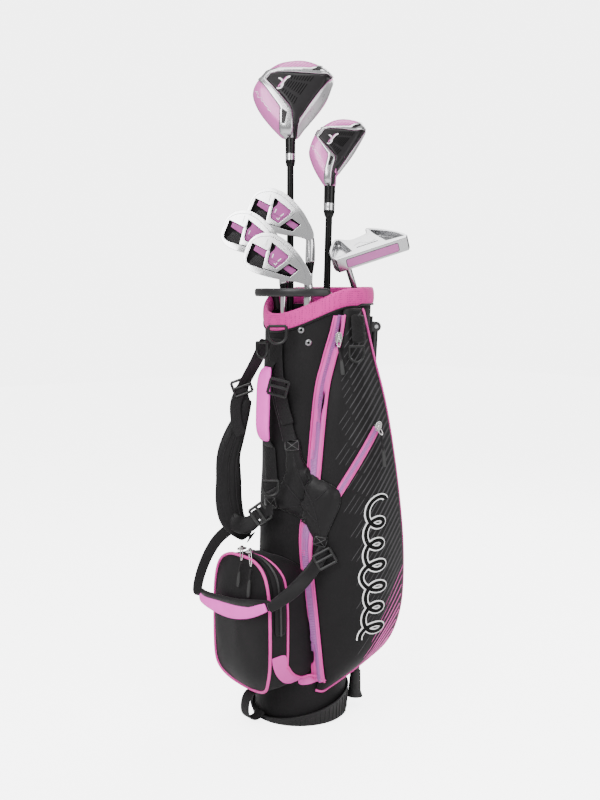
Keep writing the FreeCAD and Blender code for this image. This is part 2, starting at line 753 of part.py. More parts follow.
def wood_head(outline, neck, deep, back):
    """A hollow-look wood head: sections from the sole to the crown, leaned back."""
    middle = (sum(x for x, _ in outline) / len(outline), sum(z for _, z in outline) / len(outline))
    wires = []
    for depth, by in WOOD_LAYERS:
        points = [Vec(x, deep * depth, z) for x, z in scaled(outline, middle, by)]
        wires.append(closed_curve(points))
    head = Part.makeLoft(wires, True, False)
    head.rotate(Vec(0, 0, neck), Vec(1, 0, 0), -back)
    hosel = Part.makeCone(7.2, 9.5, neck + 22)
    return head.fuse(hosel)


DRIVER_OUTLINE = [(-13.8, 9.7), (-33, 30), (-51, 54), (-61, 77), (-60, 93), (-52, 107), (-39, 121),
                  (-20, 133.5), (0, 138), (20, 139), (39, 134.5), (55, 126.5), (67, 117), (70, 109),
                  (69, 101), (59, 73.5), (43, 50), (23, 26), (9, 8.7)]
WOOD_OUTLINE = [(-8.3, 3.5), (-14, 11), (-25.8, 30.6), (-33.6, 50), (-34.6, 61.6), (-30, 78), (-22, 92.8),
                (-2.6, 108), (16.8, 113.6), (36, 112), (47.8, 108), (55.7, 98.4), (53.6, 88.8), (36, 56),
                (16.8, 28.8), (10, 19.2), (9.1, 3.6)]
IRON_OUTLINE = [(-4.5, 0), (-5, 35), (-10, 37), (-20, 39.6), (-33, 41), (-54, 44.5), (-78, 50.5), (-91, 56.5),
                (-98, 64), (-101, 72), (-99.5, 83), (-94.5, 96.5), (-87, 106), (-77, 112), (-63, 114),
                (-49, 110), (-36, 102), (-24, 91), (-12, 77), (-4, 64), (1.5, 54), (5, 42), (5, 20), (4.5, 0)]
IRON_CAVITY = [(-17, 56), (-28, 47), (-47, 51.5), (-71, 58.5), (-90, 64.5), (-95.5, 70), (-96, 76), (-87, 97),
               (-64, 86.5), (-57, 98), (-32, 79), (-32, 71)]


def plate(outline, near, thick):
    """A flat plate: an outline of (x, z) corners, from depth near and thick away from the front."""
    corners = [Vec(x, near, z) for x, z in outline]
    return Part.Face(Part.makePolygon(corners + corners[:1])).extrude(Vec(0, thick, 0))


def iron_head(grow):
    """An iron head seen from its cavity back, thick at the sole and thin along the top line."""
    outline = [(x * grow, z * grow) for x, z in IRON_OUTLINE]
    blade = plate(outline, -12, 16)
    # The back slopes from the thick sole down to the thin top line.
    slope = plate([(-150, -40), (60, -40), (60, 220), (-150, 220)], -60, 60)
    slope.rotate(Vec(0, 0, 0), Vec(1, 0, 0), -8)
    slope.rotate(Vec(0, 0, 0), Vec(0, 1, 0), -30)
    slope.translate(Vec(-60 * grow, -7, 95 * grow))
    neck_keep = Part.makeCylinder(7, 56 * grow)
    blade = blade.cut(slope)
    cavity = plate([(x * grow, z * grow) for x, z in IRON_CAVITY], -14, 14.5)
    return blade.cut(cavity).fuse(neck_keep).removeSplitter()


PUTTER_PLAN = [(-56, 0), (56, 0), (59, 6), (52, 16), (40, 28), (27, 39), (8, 52), (3, 50), (2, 41),
               (-10, 38), (-24, 37), (-36, 44), (-46, 50), (-56, 38), (-62, 22), (-61, 8)]
PUTTER_LEFT = [(-29, 10), (-57, 7), (-58, 22), (-52, 36), (-45, 46), (-37, 38)]
PUTTER_RIGHT = [(26, 9), (53, 7), (38, 25), (26, 35), (9, 47), (13, 33)]
PUTTER_TURN = FreeCAD.Rotation(Vec(0, 1, 0), -22) * FreeCAD.Rotation(Vec(1, 0, 0), 41)
PUTTER_PLACE = FreeCAD.Placement(Vec(17, -46, 73), PUTTER_TURN)


def prism(outline, low, high):
    """An upright prism over a plan outline."""
    corners = [Vec(x, y, low) for x, y in outline]
    return Part.Face(Part.makePolygon(corners + corners[:1])).extrude(Vec(0, 0, high - low))


def insert_slot(grow):
    """The slot in the putter's face for its insert."""
    return Part.makeBox(82 + 2 * grow, 3 + grow, 15 + 2 * grow, Vec(-41 - grow, 0, -20.5 - grow))


def putter_head():
    """A mallet putter head with a lobe at each end, on a bent neck."""
    head = prism(PUTTER_PLAN, -26, 0)
    head = head.cut(prism(PUTTER_LEFT, -12, 1)).cut(prism(PUTTER_RIGHT, -12, 1)).cut(insert_slot(0.05))
    head = head.cut(Part.makeBox(140, 60, 26, Vec(-70, 24, -34)))
    head.Placement = PUTTER_PLACE
    entry = PUTTER_PLACE.multVec(Vec(-41, 10, -22))
    neck = wire([Vec(0, 0, 0), Vec(0, 0, 8), entry], 4.6)
    return head.fuse(neck)


def putter_insert():
    """The insert in the putter's face."""
    return insert_slot(0)


def place_head(label, shape, name, length, own=FreeCAD.Placement()):
    """Stands a head made round the origin at the top of its club's shaft."""
    obj = feature(label, shape)
    obj.Placement = club_placement(name) * FreeCAD.Placement(Vec(0, 0, length), FreeCAD.Rotation()) * own
    return obj


# ---------------------------------------------------------------- the assembly

BAG_PIECES = [base_cup, bag_body, top_frame, collar_pad, apparel_pocket, ball_pocket, leg_bracket,
              push_rod, rod_guides, strap_pad_upper, strap_pad_lower, strap_hub, strap_webbing,
              strap_buckles, d_rings, carry_handle, base_loop, towel_loop, towel_ring, rivets]
for maker in BAG_PIECES:
    feature(maker.__name__, maker())
stay_rods()
leg_pins()
for name, side in (("near", 1), ("far", -1)):
    leg_tube(name, side)
    leg_foot(name, side)

pod = apparel_pocket()
feature("apparel_zip_tape", tape(pod, zip_outline(), 2.0))
feature("panel_zip_tape", tape(pod, PANEL_ZIP, 2.0))
BALL_ZIP = [(-62, 262), (-48, 252), (-38, 200), (-40, 120), (-46, 120), (-48, 205)]
feature("ball_zip_tape", tape(ball_pocket(), BALL_ZIP, 2.0))
feature("apparel_zip_slider", slider(at(62, 84, 606), TURN, 12))
feature("panel_zip_slider", slider(at(118, 76, 466), TURN, 31))
feature("ball_zip_slider_a", slider(Vec(-8, -104, 280), 0, 0))
feature("ball_zip_slider_b", slider(Vec(14, -104, 280), 0, 0))

for name, (foot, mouth, length, tip) in CLUBS.items():
    club_grip(name)
    club_shaft(name, length)
for name, rise in (("driver", 12), ("wood", 11), ("iron_seven", 17), ("iron_nine", 17), ("wedge", 17)):
    club_ferrule(name, CLUBS[name][2], rise)
place_head("driver_head", wood_head(DRIVER_OUTLINE, 8, 44, 18), "driver", 897)
place_head("wood_head", wood_head(WOOD_OUTLINE, 6, 36, 18), "wood", 823)
place_head("iron_seven_head", iron_head(1.0), "iron_seven", 707)
place_head("iron_nine_head", iron_head(0.98), "iron_nine", 674)
place_head("wedge_head", iron_head(1.0), "wedge", 636)
place_head("putter_head", putter_head(), "putter", 655)
place_head("putter_insert", putter_insert(), "putter", 655, PUTTER_PLACE)


# ---------------------------------------------------------------- checks and files

doc.recompute()
os.makedirs("parts", exist_ok=True)
for name in os.listdir("parts"):
    if name.endswith(".step"):
        os.remove(os.path.join("parts", name))
for obj in doc.Objects:
    if "Invalid" in obj.State or "Error" in obj.State:
        raise RuntimeError(f"{obj.Label} failed: {obj.State}")
for obj in parts:
    shape = obj.Shape
    if shape.isNull() or not shape.isValid() or shape.Volume <= 0:
        raise RuntimeError(f"{obj.Label} has no valid solid")
    print(obj.Label, "solids", len(shape.Solids), "volume", round(shape.Volume))
    shape.exportStep(os.path.join("parts", obj.Label + ".step"))
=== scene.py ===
import bpy
import bmesh
import json
import math
from mathutils import Matrix, Vector, noise
from mathutils.bvhtree import BVHTree


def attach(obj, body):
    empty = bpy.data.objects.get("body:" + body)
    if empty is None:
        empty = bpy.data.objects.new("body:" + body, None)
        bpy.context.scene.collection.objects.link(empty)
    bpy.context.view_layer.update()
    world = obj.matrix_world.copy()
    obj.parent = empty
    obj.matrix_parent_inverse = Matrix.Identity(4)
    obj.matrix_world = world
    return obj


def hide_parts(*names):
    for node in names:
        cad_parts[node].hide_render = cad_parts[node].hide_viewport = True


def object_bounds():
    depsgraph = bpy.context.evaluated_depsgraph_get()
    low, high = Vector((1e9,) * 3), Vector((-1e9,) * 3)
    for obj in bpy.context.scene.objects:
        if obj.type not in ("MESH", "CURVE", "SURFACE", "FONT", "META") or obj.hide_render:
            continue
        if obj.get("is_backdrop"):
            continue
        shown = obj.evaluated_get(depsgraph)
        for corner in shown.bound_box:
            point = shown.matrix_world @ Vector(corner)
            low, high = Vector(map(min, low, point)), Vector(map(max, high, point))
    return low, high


# A junior golf set in its stand bag. Metres, +Z up, the origin under the middle of the
# base. Shapes on the front of the bag are given in millimetres as (across, height) or
# (across, out, height): "across" runs along the side between the spine and the large
# pocket, and "out" comes away from it.

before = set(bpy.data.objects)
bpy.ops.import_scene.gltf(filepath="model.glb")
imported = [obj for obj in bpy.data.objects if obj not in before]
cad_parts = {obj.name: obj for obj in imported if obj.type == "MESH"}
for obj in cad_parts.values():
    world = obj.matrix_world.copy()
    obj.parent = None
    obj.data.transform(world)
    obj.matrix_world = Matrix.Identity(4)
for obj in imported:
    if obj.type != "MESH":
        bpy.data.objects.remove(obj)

MM = 0.001
TURN = math.radians(52)
ACROSS = Vector((math.cos(TURN), math.sin(TURN), 0))
OUT = Vector((math.sin(TURN), -math.cos(TURN), 0))
UP = Vector((0, 0, 1))
FRONT = Matrix.Rotation(TURN, 4, "Z")


# The fabric tube in millimetres: radius at the foot, how much wider it is at its full
# height, and how far it leans there.
TUBE_FOOT_RAD, TUBE_FLARE, TUBE_LEAN, TUBE_TALL = 72, 12, 38, 650


def at(across, out, z):
    """A point of the bag's front, from millimetres."""
    return (ACROSS * across + OUT * out + UP * z) * MM


def mm(x, y, z):
    """A point from millimetres."""
    return Vector((x, y, z)) * MM


def tube_rad(z):
    """The fabric tube's outer radius at a height, in millimetres."""
    return TUBE_FOOT_RAD + TUBE_FLARE * z / TUBE_TALL


def tube_mid(z):
    """How far the leaning tube's middle has moved towards the legs."""
    return TUBE_LEAN * z / TUBE_TALL


def on_tube(angle, z, out):
    """A point at an angle round the tube, a height and a distance off its wall."""
    a = math.radians(angle)
    r = tube_rad(z) + out
    return mm(r * math.cos(a), tube_mid(z) + r * math.sin(a), z)


def extent():
    """The lowest and highest corners of all that is shown."""
    return json.loads(json.dumps([list(c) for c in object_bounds()]))


sizes = {"cad": extent()}


# ------------------------------------------------------------------ materials

def shader(name, color, rough=0.5, metallic=0.0, **more):
    """A material with one set of surface values, for the finishes below to build on."""
    mat = bpy.data.materials.new(name)
    mat.use_nodes = True
    bsdf = mat.node_tree.nodes["Principled BSDF"]
    bsdf.inputs["Base Color"].default_value = (*color, 1)
    bsdf.inputs["Roughness"].default_value = rough
    bsdf.inputs["Metallic"].default_value = metallic
    for key, value in more.items():
        bsdf.inputs[key.replace("_", " ")].default_value = value
    return mat


def node(mat, kind, **inputs):
    """A new node in a material, with its sockets' own values set."""
    made = mat.node_tree.nodes.new(kind)
    for key, value in inputs.items():
        made.inputs[key.replace("_", " ")].default_value = value
    return made


def wire_up(mat, source, out, target, into):
    """Links one node of a material to another."""
    mat.node_tree.links.new(source.outputs[out], target.inputs[into])


def bump(mat, height_node, out, strength, distance, after=None):
    """Adds a bump to a material, on top of another bump if there is one."""
    made = node(mat, "ShaderNodeBump", Strength=strength, Distance=distance)
    wire_up(mat, height_node, out, made, "Height")
    if after:
        wire_up(mat, after, "Normal", made, "Normal")
    wire_up(mat, made, "Normal", mat.node_tree.nodes["Principled BSDF"], "Normal")
    return made


def woven(name, color, rough, thread, depth=0.00025, folds=0.0012, sheen=0.05, fold_shade=0.12):
    """Cloth: threads of a given spacing, soft small folds, and colour that follows the folds: darker in their
    hollows (painted shade) and lighter on their crests (painted highlight).
    """
    mat = shader(name, color, rough, Sheen_Weight=sheen, Sheen_Roughness=0.4)
    mat.node_tree.nodes["Principled BSDF"].inputs["Specular IOR Level"].default_value = 0.16
    place = node(mat, "ShaderNodeTexCoord")
    fold = node(mat, "ShaderNodeTexNoise", Scale=26.0, Detail=5.0, Roughness=0.55)
    wire_up(mat, place, "Object", fold, "Vector")
    soft = bump(mat, fold, "Fac", 0.6, folds)
    weave_a = node(mat, "ShaderNodeTexWave", Scale=0.16 / thread, Distortion=0.6)
    weave_a.wave_type = "BANDS"
    weave_a.bands_direction = "Z"
    weave_b = node(mat, "ShaderNodeTexWave", Scale=0.16 / thread, Distortion=0.6)
    weave_b.bands_direction = "DIAGONAL"
    wire_up(mat, place, "Object", weave_a, "Vector")
    wire_up(mat, place, "Object", weave_b, "Vector")
    both = node(mat, "ShaderNodeMath")
    both.operation = "MULTIPLY"
    wire_up(mat, weave_a, "Fac", both, 0)
    wire_up(mat, weave_b, "Fac", both, 1)
    bump(mat, both, "Value", 0.5, depth, soft)
    # Painted shade and highlight: the colour is darker in the folds' hollows and lighter on their crests.
    tone = node(mat, "ShaderNodeValToRGB")
    dark = [c * (1 - fold_shade) for c in color]
    light = [min(1, c * (1 + fold_shade)) for c in color]
    tone.color_ramp.elements[0].color = (*dark, 1)
    tone.color_ramp.elements[0].position = 0.3
    tone.color_ramp.elements[1].color = (*light, 1)
    tone.color_ramp.elements[1].position = 0.7
    wire_up(mat, fold, "Fac", tone, "Fac")
    wire_up(mat, tone, "Color", mat.node_tree.nodes["Principled BSDF"], "Base Color")
    return mat


def meshed(name, color, hole, rough=0.75):
    """Spacer mesh: rows of small round holes, darkened inside as painted shade."""
    mat = shader(name, color, rough, Sheen_Weight=0.08)
    place = node(mat, "ShaderNodeTexCoord")
    holes = node(mat, "ShaderNodeTexVoronoi", Scale=1 / hole, Randomness=0.25)
    wire_up(mat, place, "Object", holes, "Vector")
    # Painted shade: the holes are drawn darker than the mesh around them.
    tone = node(mat, "ShaderNodeValToRGB")
    tone.color_ramp.elements[0].color = (*[c * 0.35 for c in color], 1)
    tone.color_ramp.elements[0].position = 0.12
    tone.color_ramp.elements[1].color = (*color, 1)
    tone.color_ramp.elements[1].position = 0.38
    wire_up(mat, holes, "Distance", tone, "Fac")
    wire_up(mat, tone, "Color", mat.node_tree.nodes["Principled BSDF"], "Base Color")
    bump(mat, holes, "Distance", 0.7, 0.0008)
    return mat


def grained(name, color, rough, metallic=0.0, scale=900.0, depth=0.00006, **more):
    """A hard surface with a fine even grain."""
    mat = shader(name, color, rough, metallic, **more)
    place = node(mat, "ShaderNodeTexCoord")
    grain = node(mat, "ShaderNodeTexNoise", Scale=scale, Detail=2.0)
    wire_up(mat, place, "Object", grain, "Vector")
    bump(mat, grain, "Fac", 0.5, depth)
    return mat


BLACK = (0.0065, 0.006, 0.0065)
FABRIC = woven("tube_polyester", BLACK, 0.62, 0.0011)
PANEL = woven("panel_polyester", (0.0065, 0.006, 0.0065), 0.55, 0.0011, folds=0.0008)
SATIN = woven("strap_satin", (0.008, 0.0075, 0.008), 0.38, 0.0008, folds=0.0016, sheen=0.1)
WEB = woven("webbing_ribbed", (0.008, 0.0075, 0.008), 0.6, 0.0018, depth=0.0005, folds=0.0003)
MESH = meshed("cuff_spacer_mesh", (0.62, 0.012, 0.27), 0.0031)
PAD_PINK = woven("pad_pink_cloth", (0.96, 0.10, 0.62), 0.6, 0.0011, folds=0.001, fold_shade=0.08)
PIPING = woven("piping_pink", (0.66, 0.055, 0.33), 0.5, 0.0012, folds=0.0002, fold_shade=0.06)
TAPE = woven("zip_tape_pink", (0.70, 0.085, 0.42), 0.6, 0.001, folds=0.0003, fold_shade=0.06)
COIL = grained("zip_coil_lilac", (0.42, 0.145, 0.42), 0.4)
# A darker copy of the coil's lilac: painted shade under and between the coil's turns.
COIL_SHADE = grained("zip_coil_painted_shade", (0.30, 0.085, 0.30), 0.6)
COIL_BLACK = grained("zip_coil_black", (0.02, 0.02, 0.02), 0.35)
GREY_PRINT = grained("panel_print_grey", (0.052, 0.050, 0.053), 0.6, Specular_IOR_Level=0.2)
PINK_PRINT = grained("panel_print_pink", (0.62, 0.055, 0.34), 0.55)
WHITE_PRINT = grained("motif_white", (0.95, 0.94, 0.95), 0.5)
BLACK_PRINT = grained("motif_black", (0.002, 0.002, 0.002), 0.6, Specular_IOR_Level=0.1)
PLASTIC = grained("moulded_black", (0.012, 0.011, 0.012), 0.38, Specular_IOR_Level=0.35)
BASE_PLASTIC = grained("base_black", (0.010, 0.0095, 0.010), 0.45, Specular_IOR_Level=0.3)
BUCKLE = grained("buckle_black", (0.006, 0.006, 0.006), 0.3, Specular_IOR_Level=0.4)
RUBBER = grained("foot_rubber_black", (0.016, 0.016, 0.016), 0.7)
STITCH = grained("stitching_dark", (0.07, 0.07, 0.07), 0.6)
SLIDER_METAL = grained("slider_silver", (0.62, 0.61, 0.60), 0.25, 1.0)
CORD_BLACK = woven("pull_cord_black", (0.014, 0.013, 0.014), 0.7, 0.0009, folds=0.0001)
RIVET = grained("rivet_gunmetal", (0.30, 0.30, 0.31), 0.3, 1.0)


# ------------------------------------------------------------------ making pieces

def finish_piece(obj, mat, body, nodes=(), smooth=True):
    """Gives a piece its material, its body and what it stands for in the frame."""
    obj.data.materials.append(mat)
    if smooth and obj.type == "MESH":
        for p in obj.data.polygons:
            p.use_smooth = True
    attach(obj, body)
    for name in nodes:
        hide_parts(name)
    return obj


def piece(name, verts, faces, mat, body="bag", nodes=(), sub=0, thick=0.0, bevel=0.0, smooth=True,
          offset=1.0):
    """A mesh piece with the usual stack: thickness, rounded edges, subdivision."""
    mesh = bpy.data.meshes.new(name)
    mesh.from_pydata([tuple(v) for v in verts], [], faces)
    work = bmesh.new()
    work.from_mesh(mesh)
    bmesh.ops.remove_doubles(work, verts=work.verts, dist=1e-6)
    bmesh.ops.recalc_face_normals(work, faces=work.faces)
    work.to_mesh(mesh)
    work.free()
    obj = bpy.data.objects.new(name, mesh)
    bpy.context.scene.collection.objects.link(obj)
    if thick:
        mod = obj.modifiers.new("thickness", "SOLIDIFY")
        mod.thickness = thick
        mod.offset = offset
    if bevel:
        mod = obj.modifiers.new("edges", "BEVEL")
        mod.width = bevel
        mod.segments = 2
        mod.limit_method = "ANGLE"
        mod.angle_limit = math.radians(40)
    if sub:
        mod = obj.modifiers.new("smooth", "SUBSURF")
        mod.levels = sub
        mod.render_levels = sub
    return finish_piece(obj, mat, body, nodes, smooth)


def line(name, runs, radius, mat, body="bag", nodes=(), cyclic=False, order=3):
    """Round cord or wire along one or more lines of points, as one curve object."""
    data = bpy.data.curves.new(name, "CURVE")
    data.dimensions = "3D"
    data.bevel_depth = radius
    data.bevel_resolution = 3
    data.resolution_u = 4
    data.use_fill_caps = True
    for points in runs:
        spline = data.splines.new("NURBS" if order > 2 else "POLY")
        spline.points.add(len(points) - 1)
        for p, q in zip(spline.points, points):
            p.co = (*q, 1)
        spline.use_cyclic_u = cyclic
        if order > 2:
            spline.order_u = order
            spline.use_endpoint_u = not cyclic
    obj = bpy.data.objects.new(name, data)
    bpy.context.scene.collection.objects.link(obj)
    return finish_piece(obj, mat, body, nodes)


def tree_of(*objects):
    """What rays hit: the finished surfaces of some pieces."""
    graph = bpy.context.evaluated_depsgraph_get()
    verts, faces = [], []
    for obj in objects:
        made = obj.evaluated_get(graph)
        mesh = made.to_mesh()
        start = len(verts)
        verts += [obj.matrix_world @ v.co for v in mesh.vertices]
        faces += [[start + i for i in p.vertices] for p in mesh.polygons]
        made.to_mesh_clear()
    return BVHTree.FromPolygons(verts, faces)


def drop(tree, space, x, z, lift, far=0.4):
    """The point of a surface in front of (x, z) in a space that looks along its +Y, lifted off it."""
    start = space @ Vector((x * MM, -far, z * MM))
    ray = (space.to_3x3() @ Vector((0, 1, 0))).normalized()
    hit, normal, _, _ = tree.ray_cast(start, ray)
    if hit is None:
        return None
    if normal.dot(ray) > 0:
        normal = -normal
    return hit + normal * lift * MM


def strip_cells(points, width, cut=5.0, ends=1.0):
    """A flat strap's corners and faces along a line of (x, z) points of even width."""
    dense = []
    for (x1, z1), (x2, z2) in zip(points, points[1:]):
        n = max(1, round(math.hypot(x2 - x1, z2 - z1) / cut))
        dense += [(x1 + (x2 - x1) * i / n, z1 + (z2 - z1) * i / n) for i in range(n)]
    dense.append(points[-1])
    rows = []
    for i, (x, z) in enumerate(dense):
        ax, az = dense[max(0, i - 1)]
        bx, bz = dense[min(len(dense) - 1, i + 1)]
        run = math.hypot(bx - ax, bz - az) or 1
        nx, nz = -(bz - az) / run, (bx - ax) / run
        taper = ends if i in (0, len(dense) - 1) else 1.0
        rows.append([(x + nx * width * t * taper, z + nz * width * t * taper) for t in (-0.5, 0, 0.5)])
    return rows


def laid_strips(name, strips, tree, space, lift, mat, body="bag", thick=0.0, cut=5.0, ends=1.0, nodes=(),
                sub=0, bevel=0.0):
    """Flat strips laid on a surface. strips is a list of (points, width)."""
    verts, faces = [], []
    for points, width in strips:
        last = None
        for row in strip_cells(points, width, cut, ends):
            spots = [drop(tree, space, x, z, lift) for x, z in row]
            if None in spots:
                last = None
                continue
            start = len(verts)
            verts += spots
            if last is not None:
                faces += [(last + i, last + i + 1, start + i + 1, start + i) for i in range(2)]
            last = start
    return piece(name, verts, faces, mat, body, nodes, sub, thick, bevel, True, 1.0)


def laid_shape(name, outlines, tree, space, lift, mat, body="bag", cell=3.0, thick=0.0, puff=0.0,
               shoulder=8.0, nodes=(), sub=0, bevel=0.0, smooth=True):
    """Filled outlines laid on a surface, optionally puffed up towards their middles."""
    work = bmesh.new()
    for outline in outlines:
        dense = []
        for (x1, z1), (x2, z2) in zip(outline, outline[1:] + outline[:1]):
            n = max(1, round(math.hypot(x2 - x1, z2 - z1) / cell))
            dense += [(x1 + (x2 - x1) * i / n, z1 + (z2 - z1) * i / n) for i in range(n)]
        ring = [work.verts.new((x, 0, z)) for x, z in dense]
        edges = [work.edges.new((a, b)) for a, b in zip(ring, ring[1:] + ring[:1])]
        bmesh.ops.triangle_fill(work, edges=edges, use_beauty=True)
    for _ in range(3):
        long = [e for e in work.edges if e.calc_length() > cell * 2.2 and not e.is_boundary]
        if not long:
            break
        bmesh.ops.subdivide_edges(work, edges=long, cuts=1)
        bmesh.ops.triangulate(work, faces=work.faces[:])
        bmesh.ops.beautify_fill(work, faces=work.faces[:], edges=work.edges[:])
    rim = [(v.co.x, v.co.z) for v in work.verts if v.is_boundary]
    gone = []
    for v in work.verts:
        up = 0.0
        if puff:
            near = min(math.hypot(v.co.x - x, v.co.z - z) for x, z in rim)
            up = puff * math.sin(math.pi / 2 * min(1, near / shoulder))
        spot = drop(tree, space, v.co.x, v.co.z, lift + up)
        if spot is None:
            gone.append(v)
        else:
            v.co = spot
    bmesh.ops.delete(work, geom=gone, context="VERTS")
    ray = space.to_3x3() @ Vector((0, -1, 0))
    for f in work.faces:
        f.normal_update()
        if f.normal.dot(ray) < 0:
            f.normal_flip()
    mesh = bpy.data.meshes.new(name)
    work.to_mesh(mesh)
    work.free()
    obj = bpy.data.objects.new(name, mesh)
    bpy.context.scene.collection.objects.link(obj)
    if thick:
        mod = obj.modifiers.new("thickness", "SOLIDIFY")
        mod.thickness = thick
        mod.offset = -1.0
    if bevel:
        mod = obj.modifiers.new("edges", "BEVEL")
        mod.width = bevel
        mod.segments = 2
        mod.angle_limit = math.radians(50)
    if sub:
        mod = obj.modifiers.new("smooth", "SUBSURF")
        mod.levels = sub
        mod.render_levels = sub
    return finish_piece(obj, mat, body, nodes, smooth)


def smooth_through(rows, per):
    """Rows of numbers interpolated smoothly, with per steps between each two."""
    out = []
    for i in range(len(rows) - 1):
        p0, p1, p2, p3 = rows[max(i - 1, 0)], rows[i], rows[i + 1], rows[min(i + 2, len(rows) - 1)]
        for step in range(per):
            t = step / per
            out.append([0.5 * (2 * b + (c - a) * t + (2 * a - 5 * b + 4 * c - d) * t * t
                               + (3 * b - a - 3 * c + d) * t ** 3) for a, b, c, d in zip(p0, p1, p2, p3)])
    out.append(list(rows[-1]))
    return out


def grid(rows, wrap=False, caps=False):
    """Vertices and faces of a net of equal rows of points."""
    verts = [v for row in rows for v in row]
    n = len(rows[0])
    faces = []
    for j in range(len(rows) - 1):
        for i in range(n if wrap else n - 1):
            k = (i + 1) % n
            faces.append((j * n + i, j * n + k, (j + 1) * n + k, (j + 1) * n + i))
    if caps:
        for row, start in ((rows[0], 0), (rows[-1], (len(rows) - 1) * n)):
            faces.append(tuple(start + i for i in range(n)))
    return verts, faces


def strap_sweep(name, stations, mat, body="bag", nodes=(), sub=1, power=2.6, sides=12, per=4):
    """A padded or flat strap. Each station is (point, across direction, width, thickness)."""
    rows = smooth_through([[*p, *w, width, thick] for p, w, width, thick in stations], per)
    rings = []
    for i, row in enumerate(rows):
        mid, wide = Vector(row[:3]), Vector(row[3:6]).normalized()
        ahead, behind = Vector(rows[min(i + 1, len(rows) - 1)][:3]), Vector(rows[max(i - 1, 0)][:3])
        along = (ahead - behind).normalized()
        wide = (wide - along * wide.dot(along)).normalized()
        deep = along.cross(wide)
        ring = []
        for k in range(sides):
            a = 2 * math.pi * (k + 0.5) / sides
            c, s = math.cos(a), math.sin(a)
            x = math.copysign(abs(c) ** (2 / power), c) * row[6] / 2
            y = math.copysign(abs(s) ** (2 / power), s) * row[7] / 2
            ring.append(mid + wide * x * MM + deep * y * MM)
        rings.append(ring)
    verts, faces = grid(rings, True, True)
    return piece(name, verts, faces, mat, body, nodes, sub)


def ruffle(p, scale, amount, seed=0.0):
    """A small smooth push in or out, for soft folds."""
    return noise.noise(Vector((p.x * scale + seed, p.y * scale, p.z * scale * 0.7))) * amount * MM


# ------------------------------------------------------------------ the bag's tube

def dip(x, low):
    """The edge height over the spine, where the cuff dips under the lift handle."""
    return low + 110 - math.sqrt(max(110 ** 2 - x ** 2, 0))


def mouth_height(angle, high, low):
    """An edge's height at an angle: high all round, but dipping to low over the spine."""
    x = 84 * math.cos(angle)
    return min(high, dip(x, low)) if math.sin(angle) < 0.15 else high


def make_tube():
    """The fabric tube, with soft folds."""
    rows = []
    for j in range(31):
        row = []
        for i in range(64):
            a = 2 * math.pi * i / 64
            z = 8 + (mouth_height(a, 657, 621) - 8) * j / 30
            p = on_tube(math.degrees(a), z, 0)
            out = Vector((math.cos(a), math.sin(a), 0))
            calm = min(1, j / 4, (30 - j) / 4)
            row.append(p + out * (ruffle(p, 16, 2.2) + ruffle(p, 45, 0.9, 7)) * calm)
        rows.append(row)
    verts, faces = grid(rows, True)
    return piece("bag_tube_fabric", verts, faces, FABRIC, "bag", ["bag_body"], 1, 0.0024,
                 offset=-1.0)


def make_base():
    """The moulded base: a shallow cup with a slanted, rolled rim and a chamfer under the legs."""
    rows = []
    profile = [(0, 0.0), (66, 0.0), (73, 0.0), (76, 2.5), (76.6, 6), (77.2, 0.5), (78.6, 0.96), (79.6, 0.985),
               (79.6, 1.0), (78.6, 1.015), (76.6, 1.0), (75.4, 0.9), (74, 0.3), (72, 6.5), (0, 6.5)]
    for k, (rad, height) in enumerate(profile):
        row = []
        for i in range(96):
            a = 2 * math.pi * i / 96
            x, y = rad * math.cos(a), rad * math.sin(a)
            rim = 30 + 20 * y / 80
            z = height if k in (0, 1, 2, 3, 4, 13, 14) else height * rim
            slope = 1.235 * (y - 48) + (4 if k > 8 else 0)
            if y > 44 and z < slope:
                z = slope
            row.append(mm(x, y, z))
        rows.append(row)
    verts, faces = grid(rows, True)
    return piece("base_cup_moulded", verts, faces, BASE_PLASTIC, "bag", ["base_cup"])


def make_base_ribs():
    """Upright ribs round the base."""
    runs = []
    for i in range(60):
        a = 2 * math.pi * i / 60
        y = 78 * math.sin(a)
        top = 30 + 20 * y / 80 - 5
        foot = max(4.5, 1.235 * (y - 48) + 4)
        if top - foot > 5:
            runs.append([mm((76.6 + z * 0.045) * math.cos(a), (76.6 + z * 0.045) * math.sin(a), z)
                         for z in (foot, (foot + top) / 2, top)])
    return line("base_ribs", runs, 0.0009, BASE_PLASTIC)


def make_cuff():
    """The padded mesh cuff, soft and full."""
    rings = []
    for i in range(96):
        a = 2 * math.pi * i / 96
        high, low = mouth_height(a, 684, 643), mouth_height(a, 656, 614)
        out = Vector((math.cos(a), math.sin(a), 0))
        mid = mm(0, tube_mid(655), 0)
        half = (high - low) / 2
        ring = []
        for k in range(16):
            b = 2 * math.pi * k / 16
            c, s = math.cos(b), math.sin(b)
            across = math.copysign(abs(c) ** 0.85, c) * 4.3
            rise = math.copysign(abs(s) ** 0.75, s) * half
            p = mid + out * (84.2 + across) * MM + UP * (high - half + rise) * MM
            ring.append(p + out * ruffle(p, 22, 0.8, 3))
        rings.append(ring)
    rings.append(rings[0])
    verts, faces = grid(rings, True)
    return piece("cuff_padded", verts, faces, MESH, "bag", ["collar_pad"], 1)


def make_cuff_seam():
    """Black binding under the cuff."""
    edge = []
    for i in range(72):
        a = 2 * math.pi * i / 72
        z = mouth_height(a, 656, 614)
        r = 86.6
        edge.append(mm(r * math.cos(a), tube_mid(655) + r * math.sin(a), z + 0.5))
    line("cuff_binding", [edge], 0.0017, SATIN, cyclic=True)


def bow_point(angle, z, rad=71.65):
    """A point on the lift handle's bow, at an angle and a height."""
    a = math.radians(angle)
    return mm(rad * math.cos(a), 6.65 + rad * math.sin(a), z)


